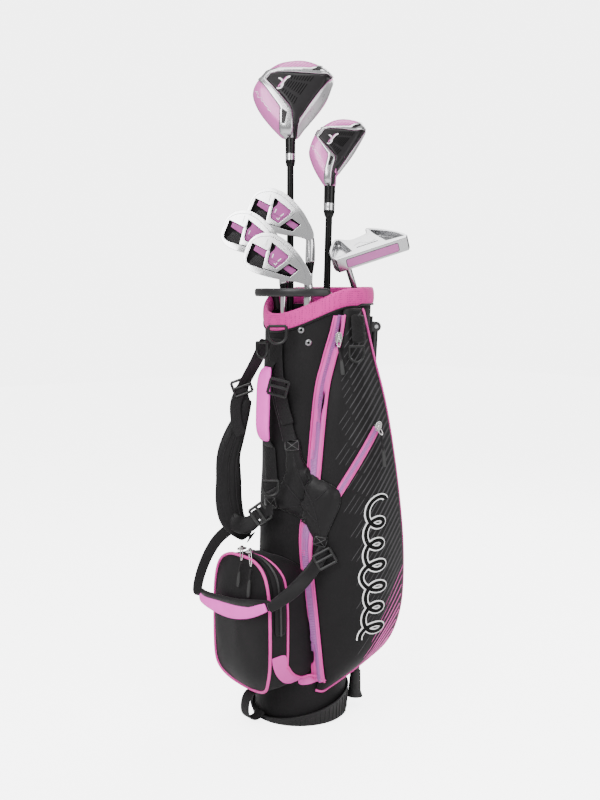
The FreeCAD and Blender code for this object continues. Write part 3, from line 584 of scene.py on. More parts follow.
def make_frame():
    """The moulded lift handle, its posts, the ring in the mouth and the dividers."""
    stations = []
    path = [(mm(67, 8, 645), 10, 9), (mm(68, 6, 660), 10, 9), (mm(69.5, 3, 671), 12, 10)]
    for angle in (-8, -30, -60, -90, -120, -150, -172):
        path.append((bow_point(angle, 675), 13, 8.5))
    path += [(mm(-69.5, 3, 671), 12, 10), (mm(-68, 6, 660), 10, 9), (mm(-67, 8, 645), 10, 9)]
    for i, (p, wide, thick) in enumerate(path):
        up = UP if 2 < i < len(path) - 3 else Vector((0, -1, 0.4 if i in (2, len(path) - 3) else 0))
        stations.append((p, up, wide, thick))
    handle = strap_sweep("lift_handle", stations, PLASTIC, "bag", ["top_frame"], 1, 3.2)
    rows = []
    for rad, z in ((76.4, 602), (79, 602), (79.2, 604), (79.2, 638), (78, 640), (76.4, 638), (76.4, 602)):
        rows.append([mm(rad * math.cos(math.pi * i / 36), tube_mid(625) + rad * math.sin(math.pi * i / 36), z)
                     for i in range(72)])
    verts, faces = grid(rows, True)
    piece("mouth_ring", verts, faces, PLASTIC, "bag")
    c = tube_mid(625)
    for name, (x1, y1, x2, y2) in (("divider_long", (20, c - 72, 20, c + 72)),
                                   ("divider_short", (20, c - 10, 76, c - 10))):
        run = Vector((x2 - x1, y2 - y1, 0)).normalized()
        stations = [(mm(x1, y1, 622) + run * (x2 - x1 + y2 - y1) * MM * t, UP, 26, 5) for t in (0, 0.5, 1)]
        strap_sweep(name, stations, SATIN, sub=1)
    return handle


# ------------------------------------------------------------------ the large pocket

APPAREL_ROWS = [
    (58, 26, 70, 32, 73, 38, 70, 44, 62), (74, 28, 76, 44, 82, 60, 72, 74, 46),
    (97, 25, 82, 55, 92, 86, 76, 110, 32), (120, 22, 85, 63, 97, 104, 80, 139, 26),
    (151, 17, 85, 66, 100, 115, 82, 157, 21), (198, 10, 85, 66, 101, 121, 83, 168, 18),
    (275, 5, 85, 63, 100, 121, 82, 169, 17), (353, 9, 85, 63, 98, 117, 78, 162, 16),
    (430, 20, 84, 66, 94, 112, 73, 151, 15), (508, 33, 80, 69, 87, 105, 65, 136, 16),
    (570, 49, 72, 74, 76, 97, 57, 118, 22), (625, 61, 64, 77, 65, 92, 50, 104, 32),
    (652, 67, 56, 78, 56, 89, 46, 98, 36),
]


def apparel_rows():
    """The large pocket's rows, made smooth between the ones given."""
    return smooth_through(APPAREL_ROWS, 3)


def panel_curve(row, count):
    """Evenly spread points across the panel at one height, from the left seam to the right."""
    pts = [(row[i], row[i + 1]) for i in (1, 3, 5, 7)]
    dense = smooth_through([list(p) for p in pts], 8)
    lengths = [0.0]
    for a, b in zip(dense, dense[1:]):
        lengths.append(lengths[-1] + math.hypot(b[0] - a[0], b[1] - a[1]))
    out = []
    for k in range(count):
        want = lengths[-1] * k / (count - 1)
        j = min(max(1, next((i for i, v in enumerate(lengths) if v >= want - 1e-9), 1)), len(dense) - 1)
        f = (want - lengths[j - 1]) / max(lengths[j] - lengths[j - 1], 1e-9)
        out.append(tuple(dense[j - 1][m] + (dense[j][m] - dense[j - 1][m]) * f for m in (0, 1)))
    return out


def body_out(across, z, out=0.0):
    """How far out the tube's wall lies at a place across, or its middle if it is past the wall."""
    mid_a, mid_o = tube_mid(z) * math.sin(TURN), -tube_mid(z) * math.cos(TURN)
    r = tube_rad(z) + out
    return mid_o + math.sqrt(max(r * r - (across - mid_a) ** 2, 0))


def make_apparel():
    """The panel, full and gently creased, with a gusset behind each seam."""
    rows = []
    for row in apparel_rows():
        z = row[0]
        panel = panel_curve(row, 15)
        left, right = panel[0], panel[-1]
        mid_a = tube_mid(z) * math.sin(TURN)
        rear_a = min(right[0] - 8, mid_a + tube_rad(z) - 3)
        rear = (rear_a, body_out(rear_a, z) - 5)
        inner = (left[0] + 6, body_out(left[0] + 6, z) - 5)
        ring = [at(*inner, z), at((inner[0] * 0.4 + left[0] * 0.6), (inner[1] + left[1]) / 2, z)]
        for k, (a, o) in enumerate(panel):
            p = at(a, o, z)
            calm = math.sin(math.pi * k / 14) * min(1, (z - 58) / 60, (652 - z) / 60)
            ring.append(p + OUT * calm * (ruffle(p, 9, 5.0, 2) + ruffle(p, 26, 1.8, 5)))
        ring += [at(right[0] * 0.55 + rear[0] * 0.45 + 3, right[1] * 0.5 + rear[1] * 0.5, z), at(*rear, z)]
        rows.append(ring)
    verts, faces = grid(rows)
    n = len(rows[0])
    faces.append(tuple(range(n)))
    faces.append(tuple((len(rows) - 1) * n + i for i in range(n)))
    return piece("apparel_pocket_panel", verts, faces, PANEL, "bag", ["apparel_pocket"], 1)


def seam_points(side, first=0, lift=1.2):
    """The line of a panel seam, lifted out a little, from the bottom to the top."""
    points = []
    for row in apparel_rows()[first:]:
        a, o = (row[1], row[2]) if side < 0 else (row[7], row[8])
        points.append(at(a + side * lift * 0.6, o + lift, row[0]))
    return points


# ------------------------------------------------------------------ the ball pocket

# The ball pocket's middle height, half width and half height, in millimetres.
BALL_MID, BALL_WIDE, BALL_TALL = 165, 74, 106


def ball_outline():
    """The ball pocket's front outline in (x, z): straight sides, an arched top, round corners."""
    shape = [(0, 271), (26, 270), (48, 262), (62, 248), (70, 226), (73.5, 198), (74.5, 160), (74, 122),
             (71, 97), (62, 78), (46, 66), (24, 60), (0, 58)]
    full = shape + [(-x, z) for x, z in reversed(shape[1:-1])]
    full.append(full[0])
    dense = smooth_through([list(p) for p in full], 3)
    return [(p[0], p[1]) for p in dense[:-1]]


def ball_front(x, z):
    """The y of the ball pocket's front panel, softly bulged."""
    s = min(1, (x / BALL_WIDE) ** 2 + ((z - BALL_MID) / BALL_TALL) ** 2)
    roll = max(0, (95 - z) / 37) ** 2 * 14
    return -114 - 10 * (1 - s) ** 0.6 + roll


def make_ball_pocket():
    """The ball pocket: a bulged front and walls that run back to the tube."""
    outline = ball_outline()
    rows = []
    for share in (0.03, 0.3, 0.55, 0.78, 0.92, 0.985):
        row = []
        for x, z in outline:
            at_x, at_z = x * share, BALL_MID + (z - BALL_MID) * share
            p = mm(at_x, ball_front(at_x, at_z), at_z)
            row.append(p + Vector((0, 1, 0)) * ruffle(p, 20, 3.0 * (1 - share ** 4), 9))
        rows.append(row)
    for depth, share in ((0.0, 1.0), (0.12, 1.008), (0.5, 1.0), (0.9, 0.985), (1.0, 0.96)):
        row = []
        for x, z in outline:
            at_x, at_z = x * share, BALL_MID + (z - BALL_MID) * share
            front = ball_front(x, z) + 1
            back = tube_mid(at_z) - math.sqrt(max(tube_rad(at_z) ** 2 - min(abs(at_x), 66) ** 2, 0)) + 4
            y = front + (back - front) * depth
            p = mm(at_x, y, at_z)
            row.append(p + Vector((x, 0, z - BALL_MID)).normalized() * ruffle(p, 24,
                    1.6 * math.sin(math.pi * depth), 4))
        rows.append(row)
    verts, faces = grid(rows, True)
    n = len(outline)
    faces.append(tuple(range(n)))
    return piece("ball_pocket_shell", verts, faces, FABRIC, "bag", ["ball_pocket"], 1)


def ball_ring(share, depth, first, last):
    """A line round the ball pocket's edge, between two of the outline's points."""
    outline = ball_outline()
    points = []
    for i in range(first, last + 1):
        x, z = outline[i % len(outline)]
        at_x, at_z = x * share, BALL_MID + (z - BALL_MID) * share
        front = ball_front(x, z) + 1
        back = tube_mid(at_z) - math.sqrt(max(tube_rad(at_z) ** 2 - min(abs(at_x), 66) ** 2, 0)) + 4
        points.append(mm(at_x, front + (back - front) * depth, at_z))
    return points


tube = make_tube()
make_base()
make_base_ribs()
cuff = make_cuff()
make_cuff_seam()
make_frame()
pocket = make_apparel()
ball = make_ball_pocket()


# ------------------------------------------------------------------ piping, zips and print

front_tree = tree_of(tube, pocket)
pocket_tree = tree_of(pocket)


def make_piping():
    """Pink piping along the right seam and the bottom of the large pocket."""
    left, right = seam_points(-1), seam_points(1)
    snug = []
    for p in right:
        spot, normal, _, _ = pocket_tree.find_nearest(p)
        snug.append(spot + normal * 0.0008)
    line("pocket_piping_right", [snug], 0.0019, PIPING)
    bottom = [snug[0], at(41, 66, 56), at(33, 71, 55), left[0]]
    line("pocket_piping_bottom", [bottom], 0.0019, PIPING)


ZIP_LEFT = [(52, 640), (46, 614), (34, 571), (22, 514), (9, 364), (1, 308), (3, 257), (9, 200), (15, 142),
            (20, 76)]
ZIP_RIGHT = [(70, 640), (64, 602), (55, 571), (43, 514), (29, 364), (20, 290), (22, 248), (28, 190),
             (36, 110), (40, 76)]


def between(share):
    """The line that lies a share of the way from one edge of the long zip to the other."""
    return [(a[0] + (b[0] - a[0]) * share, a[1] + (b[1] - a[1]) * share) for a, b in zip(ZIP_LEFT, ZIP_RIGHT)]


def rounded(points, per=6):
    """A line of points made smooth."""
    return [tuple(p) for p in smooth_through([list(p) for p in points], per)]


def make_apparel_zip():
    """The long zip: a pink tape, the coil down its middle, and a cord along each edge."""
    left, right = rounded(ZIP_LEFT), rounded(ZIP_RIGHT)
    rows = []
    for (x1, z1), (x2, z2) in zip(left, right):
        row = []
        for k in range(7):
            t = k / 6
            x, z = x1 + (x2 - x1) * t, z1 + (z2 - z1) * t
            spot = drop(front_tree, FRONT, x, z, 1.6)
            row.append(spot if spot else at(x, 80, z))
        rows.append(row)
    verts, faces = grid(rows)
    piece("apparel_zip_tape_cloth", verts, faces, TAPE, "bag", ["apparel_zip_tape"], 1, 0.0012)
    edges = []
    for share in (0.02, 0.98):
        edges.append([drop(front_tree, FRONT, x, z, 3.0) for x, z in rounded(between(share))])
    line("apparel_zip_cords", edges, 0.0015, PIPING)
    coil = rounded(between(0.52), 14)
    teeth = []
    for (xa, za), (xb, zb) in zip(coil, coil[1:]):
        run = math.hypot(xb - xa, zb - za)
        for k in range(max(1, round(run / 2.2))):
            t = k / max(1, round(run / 2.2))
            x, z = xa + (xb - xa) * t, za + (zb - za) * t
            nx, nz = -(zb - za) / run, (xb - xa) / run
            ends = [drop(front_tree, FRONT, x + nx * s, z + nz * s, 3.6) for s in (-3.2, 3.2)]
            if None not in ends:
                teeth.append(ends)
    line("apparel_zip_coil", teeth, 0.00062, COIL, order=2)
    # A strip of painted shade under the coil.
    laid_strips("apparel_zip_coil_shade", [(rounded(between(0.52)), 8.0)], front_tree, FRONT, 3.25, COIL_SHADE)


def make_panel_zip():
    """The slanted zip on the panel."""
    path = [(117, 468), (86, 419), (57, 371)]
    laid_strips("panel_zip_tape_cloth", [(path, 10.5)], front_tree, FRONT, 1.0, TAPE,
                nodes=["panel_zip_tape"], thick=0.0008)
    # A strip of painted shade under the coil.
    laid_strips("panel_zip_coil_shade", [(path, 5.0)], front_tree, FRONT, 2.2, COIL_SHADE)
    teeth = []
    (xa, za), (xb, zb) = path[0], path[-1]
    run = math.hypot(xb - xa, zb - za)
    nx, nz = -(zb - za) / run, (xb - xa) / run
    for k in range(int(run / 2.2)):
        x, z = xa + (xb - xa) * k * 2.2 / run, za + (zb - za) * k * 2.2 / run
        ends = [drop(front_tree, FRONT, x + nx * s, z + nz * s, 2.5) for s in (-1.9, 1.9)]
        teeth.append(ends)
    line("panel_zip_coil", teeth, 0.0005, COIL, order=2)
    edges = [[drop(front_tree, FRONT, xa + (xb - xa) * t / 20 + nx * s, za + (zb - za) * t / 20 + nz * s, 1.8)
              for t in range(21)] for s in (-5.4, 5.4)]
    line("panel_zip_cords", edges, 0.0008, PIPING)


def panel_edge(z):
    """Where the panel's right seam lies across at a height."""
    rows = APPAREL_ROWS
    for a, b in zip(rows, rows[1:]):
        if a[0] <= z <= b[0]:
            return a[7] + (b[7] - a[7]) * (z - a[0]) / (b[0] - a[0])
    return 40


def zip_edge(z):
    """Where the long zip's right edge lies across at a height."""
    for a, b in zip(ZIP_RIGHT[::-1], ZIP_RIGHT[::-1][1:]):
        if a[1] <= z <= b[1]:
            return a[0] + (b[0] - a[0]) * (z - a[1]) / (b[1] - a[1])
    return 38


def panel_run(x, z, reach, steep, first=0.0):
    """Points of a straight printed line that comes down and left from the panel's right seam."""
    out = []
    for k in range(9):
        t = first + (reach - first) * k / 8
        at_x, at_z = x - t * math.cos(steep), z - t * math.sin(steep)
        if at_z > 70 and at_x > zip_edge(min(639, at_z)) + 5:
            out.append((at_x, at_z))
    return out


def make_print():
    """The panel's print: long grey lines that thicken towards the seam, and pink stripes low down."""
    steep = math.radians(56)
    thick, thin, faint = [], [], []
    for k in range(40):
        z = 646 - k * 10.6
        x = panel_edge(min(650, z)) - 4.5
        full = 46 + 88 * min(1.0, k / 12) * (0.62 + 0.38 * ((k * 5) % 7) / 6)
        share = 0.34 + 0.12 * ((k * 3) % 4) / 3
        for runs, first, last, width in ((thick, 0.0, share, 2.7), (thin, share * 0.96, 0.72, 1.7),
                                         (faint, 0.75, 1.0, 0.9)):
            pts = panel_run(x, z, full * last, steep, full * first)
            if len(pts) > 1:
                runs.append((pts, width))
    laid_strips("panel_print_thick", thick, front_tree, FRONT, 0.35, GREY_PRINT, cut=6, ends=0.5)
    laid_strips("panel_print_thin", thin, front_tree, FRONT, 0.35, GREY_PRINT, cut=6, ends=0.5)
    laid_strips("panel_print_faint", faint, front_tree, FRONT, 0.35, GREY_PRINT, cut=6, ends=0.4)
    pink = []
    for k in range(11):
        # Each lower stripe is wider and runs further round the bottom corner.
        z = 250 - 14 * k
        x = panel_edge(max(60, z)) - 2.6
        steep = math.radians(60 - 1.6 * k)
        reach = 66 + 17 * min(k, 7)
        wide = 1.2 + 0.3 * min(k, 9)
        pts = panel_run(x, z, reach * 0.62, steep)
        if len(pts) > 1:
            pink.append((pts, wide))
            far = panel_run(x, z, reach, steep, reach * 0.6)
            if len(far) > 1:
                pink.append((far, wide * 0.5))
    laid_strips("panel_print_stripes", pink, front_tree, FRONT, 0.5, PINK_PRINT, cut=5, ends=0.5)


def make_motif():
    """A scribbled chain of loops that climbs the panel, black inside a white outline."""
    path = []
    for k in range(241):
        t = k / 240
        turn = 2 * math.pi * 6.5 * t
        tall = 13.5 + 4.5 * math.exp(-((t - 0.05) / 0.06) ** 2) + 6.5 * math.exp(-((t - 0.46) / 0.07) ** 2)
        mid = 107 + 12 * t + 3 * math.sin(t * 6)
        path.append((mid - tall * math.cos(turn), 146 + 212 * t + 13 * math.sin(turn)))
    laid_strips("motif_rim", [(path, 9.4)], front_tree, FRONT, 0.9, WHITE_PRINT, cut=3)
    laid_strips("motif_line", [(path, 5.4)], front_tree, FRONT, 1.9, BLACK_PRINT, cut=3)


def make_ball_trims():
    """The ball pocket's piping, its black zip and the pink gusset beside it."""
    n = len(ball_outline())
    line("ball_piping_front", [[p + Vector((0, -0.0008, 0)) for p in ball_ring(1.004, 0.0, 0, n)]], 0.0024,
         PIPING)
    rear = ball_ring(1.0, 0.36, 0, 23)
    line("ball_piping_rear", [rear], 0.0021, PIPING)
    inner = ball_ring(1.012, 0.07, 0, 18)
    outer = ball_ring(1.012, 0.30, 0, 18)
    rows = [[a + (b - a) * t for t in (0, 0.33, 0.66, 1)] for a, b in zip(inner, outer)]
    rows = [[p + Vector((p.x, 0, p.z - BALL_MID * MM)).normalized() * 0.0012 for p in row] for row in rows]
    verts, faces = grid(rows)
    piece("ball_zip_tape_cloth", verts, faces, WEB, "bag", ["ball_zip_tape"], 1, 0.001)
    mids = [[p + Vector((p.x, 0, p.z - BALL_MID * MM)).normalized() * 0.003
             for p in ball_ring(1.012, 0.185, 0, 18)]]
    line("ball_zip_coil", mids, 0.0016, COIL_BLACK)
    # The pink gusset sweeps from the pocket's side to the large pocket's lower corner.
    sweep_tree = tree_of(tube, pocket, ball)
    line("ball_piping_sweep", [[rear[-1]] + [drop(sweep_tree, FRONT, x, z, 2.0) for x, z in (
        (-20, 113), (-13.5, 97), (-4.5, 87), (4.5, 81.5), (19, 84), (36, 81.5))]], 0.0019, PIPING)
    side = rounded([(-42, 127), (-22, 128), (-19, 111), (-13.5, 96), (-4.5, 86), (3, 82), (3, 68), (-2, 69),
                    (-20, 77), (-32, 92), (-39, 109), (-42, 127)], 3)[:-1]
    laid_shape("ball_gusset_pink", [side], tree_of(ball), FRONT, 1.2, TAPE, cell=3, sub=1)
    foot = rounded([(-1, 84), (6, 81), (19, 84), (36, 82), (42, 78), (28, 71), (14, 67), (-1, 68), (-1, 84)],
                   3)[:-1]
    laid_shape("ball_gusset_foot", [foot], front_tree, FRONT, 1.2, TAPE, cell=3, sub=1)


make_piping()
make_apparel_zip()
make_panel_zip()
make_print()
make_motif()
make_ball_trims()


# ------------------------------------------------------------------ straps and handles

def make_hub():
    """The padded yoke of the shoulder straps, quilted in three lobes."""
    outline = [(-24, 452), (1, 452), (4, 436), (6, 423), (14, 410), (26, 400), (38, 393), (51, 387),
               (60, 380), (64, 370), (63, 355), (56, 338), (48, 320), (43, 306), (41, 291), (21, 291),
               (20, 304), (12, 318), (-4, 331), (-18, 337), (-33, 340), (-53, 339), (-54, 361), (-40, 372),
               (-26, 384), (-21, 398), (-20, 426)]
    hub = laid_shape("shoulder_yoke", [outline], front_tree, FRONT, 3.0, SATIN, "bag", cell=5, thick=0.004,
                     puff=8.5, shoulder=16, nodes=["strap_hub"], sub=1)
    tree = tree_of(tube, pocket, hub)
    seams = []
    for path in ([(-10, 428), (2, 392), (22, 352), (31, 306)], [(-22, 384), (-6, 366), (14, 344), (26, 330)],
                 [(44, 384), (26, 366), (4, 352), (-26, 344)]):
        seams.append([drop(tree, FRONT, x, z, 0.2) for x, z in rounded(path)])
    line("yoke_seams", seams, 0.0009, CORD_BLACK)
    for name, cx, cz, wide, tall, turn in (("patch_top", -11, 442, 22, 16, 0.05),
                                           ("patch_left", -43, 350, 18, 19, 0.2),
                                           ("patch_right", 32, 301, 20, 16, -0.25)):
        c, s = math.cos(turn), math.sin(turn)
        corners = [(cx + x * c - z * s, cz + x * s + z * c) for x, z in
                   ((-wide / 2, -tall / 2), (wide / 2, -tall / 2), (wide / 2, tall / 2),
                    (-wide / 2, tall / 2))]
        laid_shape(name, [corners], tree, FRONT, 1.6, WEB, cell=4, thick=0.0016)
        cross = []
        for a, b in ((0, 1), (1, 2), (2, 3), (3, 0), (0, 2), (1, 3)):
            (x1, z1), (x2, z2) = corners[a], corners[b]
            x1, z1, x2, z2 = [v * 0.82 + w * 0.18 for v, w in ((x1, cx), (z1, cz), (x2, cx), (z2, cz))]
            cross.append([drop(tree, FRONT, x1 + (x2 - x1) * t / 6, z1 + (z2 - z1) * t / 6, 1.9)
                          for t in range(7)])
        line(name + "_stitches", cross, 0.00035, STITCH, order=2)
    return hub


def make_pads():
    """The two padded lengths of the shoulder straps."""
    side = -OUT * 0.2 + ACROSS
    upper = strap_sweep("strap_pad_left", [
        (at(-80, 11, 508), ACROSS + UP * 0.7, 12, 5), (at(-88, 11, 488), ACROSS + UP * 0.6, 22, 9),
        (at(-102, 11, 452), ACROSS + UP * 0.5, 34, 12), (at(-112, 11, 418), side, 39, 13),
        (at(-112, 11, 380), side, 42, 13), (at(-112, 11, 345), side, 44, 13),
        (at(-106, 11, 316), side - UP * 0.5, 42, 12), (at(-88, 11, 296), ACROSS - UP * 0.7, 32, 11),
        (at(-76, 11, 286), ACROSS - UP * 0.8, 24, 7)], SATIN, "bag", ["strap_pad_upper"], 1,
        3.2)
    ridges = []
    for off in (-12, 0, 12):
        ridges.append([at(-98 + off * 0.7, 18.2, 452 - off * 0.3), at(-112 + off, 18.4, 415),
                       at(-112 + off, 18.4, 380), at(-111 + off, 18.4, 345),
                       at(-103 + off * 0.8, 18, 318 + off * 0.4)])
    line("strap_pad_ribs", ridges, 0.0008, CORD_BLACK)
    y = -131
    lower = strap_sweep("strap_pad_front", [
        (mm(86, y + 2, 212), UP, 13, 8), (mm(66, y, 204), UP, 18, 9), (mm(36, y, 196), UP, 26, 11),
        (mm(0, y, 190), UP, 30, 11), (mm(-36, y, 188.5), UP, 29, 11), (mm(-66, y, 189), UP, 24, 11),
        (mm(-86, y + 1, 190), UP, 17, 9), (mm(-93, y + 4, 191), UP, 10, 7)],
        PAD_PINK, "bag", ["strap_pad_lower"], 1, 3.0)
    strap_sweep("strap_pad_cover", [
        (mm(92, y + 6, 216), UP, 16, 3.5), (mm(66, y - 1, 210), UP, 20, 5), (mm(30, y - 2, 206), UP, 14, 7),
        (mm(0, y - 2, 203), UP, 11, 8), (mm(-40, y - 2, 200.5), UP, 10, 8), (mm(-70, y - 2, 199), UP, 10, 8),
        (mm(-92, y + 3, 199), UP, 9, 7)], SATIN, sub=1)
    return lower


def make_webbing():
    """All the plain webbing of the shoulder straps."""
    tree = tree_of(tube, pocket, bpy.data.objects["shoulder_yoke"])
    laid_strips("webbing_down", [(rounded([(-33, 604), (-33, 570), (-29, 520), (-20, 480), (-12, 447)]), 21)],
                tree, FRONT, 4.0, WEB, nodes=["strap_webbing"], thick=0.0019, sub=1)
    laid_strips("webbing_tail", [(rounded([(-27, 545), (-22, 505), (-14, 474)]), 19)], tree, FRONT, 7.5, WEB,
                thick=0.0018, sub=1)
    laid_strips("webbing_spine", [(rounded([(-45, 436), (-43, 410), (-41, 382)]), 20)], tree, FRONT, 2.0, WEB,
                thick=0.0018, sub=1)
    strap_sweep("webbing_left_top", [
        (at(-50, 58, 604), ACROSS + UP * 0.3, 20, 1.8), (at(-64, 44, 574), ACROSS + UP * 0.4, 20, 1.8),
        (at(-80, 28, 545), ACROSS + UP * 0.5, 20, 1.8), (at(-90, 16, 522), ACROSS + UP * 0.5, 20, 1.8),
        (at(-86, 12, 500), ACROSS + UP * 0.2, 20, 1.8)], WEB, power=6)
    strap_sweep("webbing_left_tail", [
        (at(-88, 20, 530), ACROSS + UP * 0.3, 18, 1.6), (at(-100, 18, 502), ACROSS + UP * 0.3, 18, 1.6),
        (at(-98, 20, 470), ACROSS - UP * 0.2, 18, 1.6), (at(-90, 22, 452), ACROSS - UP * 0.3, 18, 1.6)], WEB,
        power=6)
    strap_sweep("webbing_yoke_left", [
        (at(-40, 78, 345), UP + ACROSS * 0.3, 17, 1.8), (at(-52, 70, 341), UP + ACROSS * 0.4, 17, 1.8),
        (at(-62, 62, 336), UP - ACROSS * 0.3, 17, 1.8), (at(-70, 52, 329), UP - ACROSS * 0.5, 17, 1.8)], WEB,
        power=6)
    turn = strap_sweep("strap_pad_turn", [
        (at(-122, 12, 336), ACROSS + UP * 0.5, 22, 7), (at(-110, 13, 318), ACROSS * 0.8 + UP * 0.8, 27, 8),
        (at(-94, 22, 309), ACROSS * 0.3 + UP, 28, 8), (at(-78, 36, 314), UP - ACROSS * 0.35, 26, 7),
        (at(-66, 50, 326), UP - ACROSS * 0.6, 21, 5)], SATIN, power=3.2)
    strap_sweep("webbing_lower", [
        (at(38, 104, 292), ACROSS - UP * 0.3, 19, 3), (at(28, 108, 272), ACROSS - UP * 0.4, 20, 5),
        (at(12, 113, 250), ACROSS - UP * 0.7, 22, 6), (at(-8, 126, 232), ACROSS * 0.6 - UP, 22, 7),
        (at(-30, 142, 219), ACROSS * 0.35 - UP, 19, 7), (at(-46, 150, 211), ACROSS * 0.2 - UP, 14, 6)], SATIN,
        power=3.4)
    strap_sweep("webbing_rise", [
        (mm(-91, -128, 192), ACROSS - UP * 0.1, 14, 2.4), (at(-163, 14, 200), ACROSS - UP * 0.1, 15, 2.2),
        (at(-159, 11, 224), ACROSS - UP * 0.25, 16, 2), (at(-147, 11, 256), ACROSS - UP * 0.4, 17, 2),
        (at(-130, 12, 284), ACROSS - UP * 0.6, 18, 2), (at(-108, 16, 304), ACROSS * 0.8 - UP * 0.7, 19, 2)],
        WEB, power=6)


def turned_box(name, place, parts, mat, nodes=()):
    """Rounded bars, each (start, end, thickness), moved by a matrix: a moulded buckle."""
    runs = [[place @ mm(*a), place @ mm(*b)] for a, b, _ in parts]
    return line(name, runs, parts[0][2] * MM, mat, "bag", nodes, order=2)


def ladder_lock(name, mid, turn, nodes=()):
    """A ladder lock buckle with a middle bar."""
    place = Matrix.Translation(mid) @ Matrix.Rotation(TURN, 4, "Z") @ Matrix.Rotation(turn, 4, "Y")
    w, h = 14, 11.5
    bars = [((-w, 0, h), (w, 0, h), 2.3), ((-w, 0, -h), (w, 0, -h), 1.9), ((-w, 0, -h), (-w, 0, h), 1.9),
            ((w, 0, -h), (w, 0, h), 1.9), ((-w, -1.5, 1), (w, -1.5, 1), 2.3)]
    return turned_box(name, place, bars, BUCKLE, nodes)


def dee_ring(name, mid, wide, tall, wire, turn_z=TURN, tilt=0.0, body="bag", nodes=()):
    """A wire ring with one straight side."""
    place = Matrix.Translation(mid) @ Matrix.Rotation(turn_z, 4, "Z") @ Matrix.Rotation(tilt, 4, "X")
    half = wide / 2
    arc = [(half * math.cos(math.pi * (1 + k / 10)),
            tall / 2 - half + tall * 0.62 * math.sin(math.pi * (1 + k / 10)))
           for k in range(11)]
    pts = [(-half, tall / 2)] + arc + [(half, tall / 2)]
    pts = [place @ mm(x, 0, z) for x, z in pts]
    return line(name, [pts, [pts[0], (pts[0] + pts[-1]) / 2, pts[-1]]], wire * MM, BUCKLE, body, nodes,
                order=2)


def make_hardware():
    """The ladder locks and D-rings of the straps."""
    ladder_lock("ladder_lock_top", at(-32, 80, 532), 0.26, ["strap_buckles"])
    ladder_lock("ladder_lock_left", at(-90, 20, 528), -0.35)
    ladder_lock("ladder_lock_side", at(-60, 68, 336), 0.95)
    ladder_lock("ladder_lock_low", at(38, 110, 276), -0.5)
    dee_ring("dee_top", at(-33, 74, 614), 27, 21, 2.3, nodes=["d_rings"])
    dee_ring("dee_spine", at(-57, 60, 590), 24, 18, 2.2, math.radians(5))
    dee_ring("dee_low", at(-44, 76, 380), 24, 18, 2.3)


def make_carry_handle():
    """The padded carry handle on the spine, with webbing at both ends."""
    stations = []
    for z, out, wide, thick in ((446, 12, 18, 4), (452, 15.5, 26, 8), (466, 19, 30, 10.5),
                                (490, 19.5, 31, 11), (515, 19.5, 31, 11), (538, 19, 30, 10.5),
                                (553, 16, 26, 8), (560, 12, 18, 4)):
        stations.append((mm(0, tube_mid(z) - tube_rad(z) - out, z), Vector((1, 0, 0)), wide, thick))
    grip = strap_sweep("carry_handle_pad", stations, PAD_PINK, "bag", ["carry_handle"], 1, 3.0)
    ends = []
    for z1, z2 in ((434, 452), (572, 554)):
        pts = [(mm(0, tube_mid(z1) - tube_rad(z1) - 1, z1), Vector((1, 0, 0)), 22, 2),
               (mm(0, tube_mid(z1) - tube_rad(z1) - 7, (z1 * 2 + z2) / 3), Vector((1, 0, 0)), 22, 2),
               (mm(0, tube_mid(z2) - tube_rad(z2) - 15, z2), Vector((1, 0, 0)), 22, 2)]
        ends.append(strap_sweep(f"handle_webbing_{z1}", pts, WEB, power=6))
    return grip


def make_base_loop():
    """The webbing loop at the foot of the bag."""
    pts = [(0, -77, 48), (0, -90, 53), (0, -102, 48), (0, -108, 34), (0, -107, 18), (0, -98, 9), (0, -86, 9),
           (0, -77, 16)]
    strap_sweep("base_loop_webbing", [(mm(*p), Vector((1, 0, 0)), 22, 2.2) for p in pts], WEB, "bag",
                ["base_loop"], power=6)


def make_towel():
    """The towel loop and its ring."""
    laid_strips("towel_tab", [([(85, 640), (85, 618), (86, 598)], 19)], front_tree, FRONT, 6.0, WEB,
                nodes=["towel_loop"], thick=0.003, sub=1)
    dee_ring("towel_dee", at(86, 79, 584), 22, 20, 1.9, body="towel_ring", nodes=["towel_ring"])


hub = make_hub()
make_pads()
make_webbing()
make_hardware()
make_carry_handle()
make_base_loop()
make_towel()


# ------------------------------------------------------------------ the clubs

HEAD_PINK = grained("head_paint_pink", (0.60, 0.125, 0.42), 0.32, 0.1, Coat_Weight=0.35, Coat_Roughness=0.12)
HEAD_BLACK = grained("head_paint_black", (0.010, 0.009, 0.010), 0.36, scale=700.0, Specular_IOR_Level=0.2)
SILVER = grained("head_satin_silver", (0.50, 0.50, 0.51), 0.2, 0.95, scale=1400.0, depth=0.00002)
POLISHED = grained("head_polished_steel", (0.72, 0.72, 0.73), 0.15, 0.95, scale=300.0, depth=0.00002)
CHROME = grained("shaft_chrome", (0.82, 0.82, 0.83), 0.12, 1.0)
GRAPHITE = grained("shaft_black_lacquer", (0.0012, 0.0012, 0.0012), 0.35, Specular_IOR_Level=0.15)
FERRULE = grained("ferrule_gloss_black", (0.002, 0.002, 0.002), 0.25, Specular_IOR_Level=0.25)
CAVITY_BLACK = grained("cavity_black", (0.005, 0.0045, 0.005), 0.45, Specular_IOR_Level=0.12)
# Darker than the black paint: painted shade inside the sole's slots.
SLOT_SHADE = grained("sole_slot_painted_shade", (0.0004, 0.0004, 0.0004), 0.7, Specular_IOR_Level=0.05)
HATCH_GREY = grained("cavity_hatch_grey", (0.045, 0.042, 0.045), 0.5)
ENGRAVED = grained("engraved_dark", (0.045, 0.045, 0.05), 0.5)
ENAMEL_PINK = grained("enamel_pink", (0.36, 0.065, 0.27), 0.35, 0.15, Coat_Weight=0.2)
LINE_PINK = grained("skirt_line_pink", (0.36, 0.05, 0.24), 0.4)
# Painted shade: a grey line drawn along the crease where the top line meets the back.
CREASE_SHADE = grained("crease_painted_shade", (0.22, 0.22, 0.23), 0.35, 0.8)
ENAMEL_WHITE = grained("enamel_white", (0.85, 0.80, 0.84), 0.35)
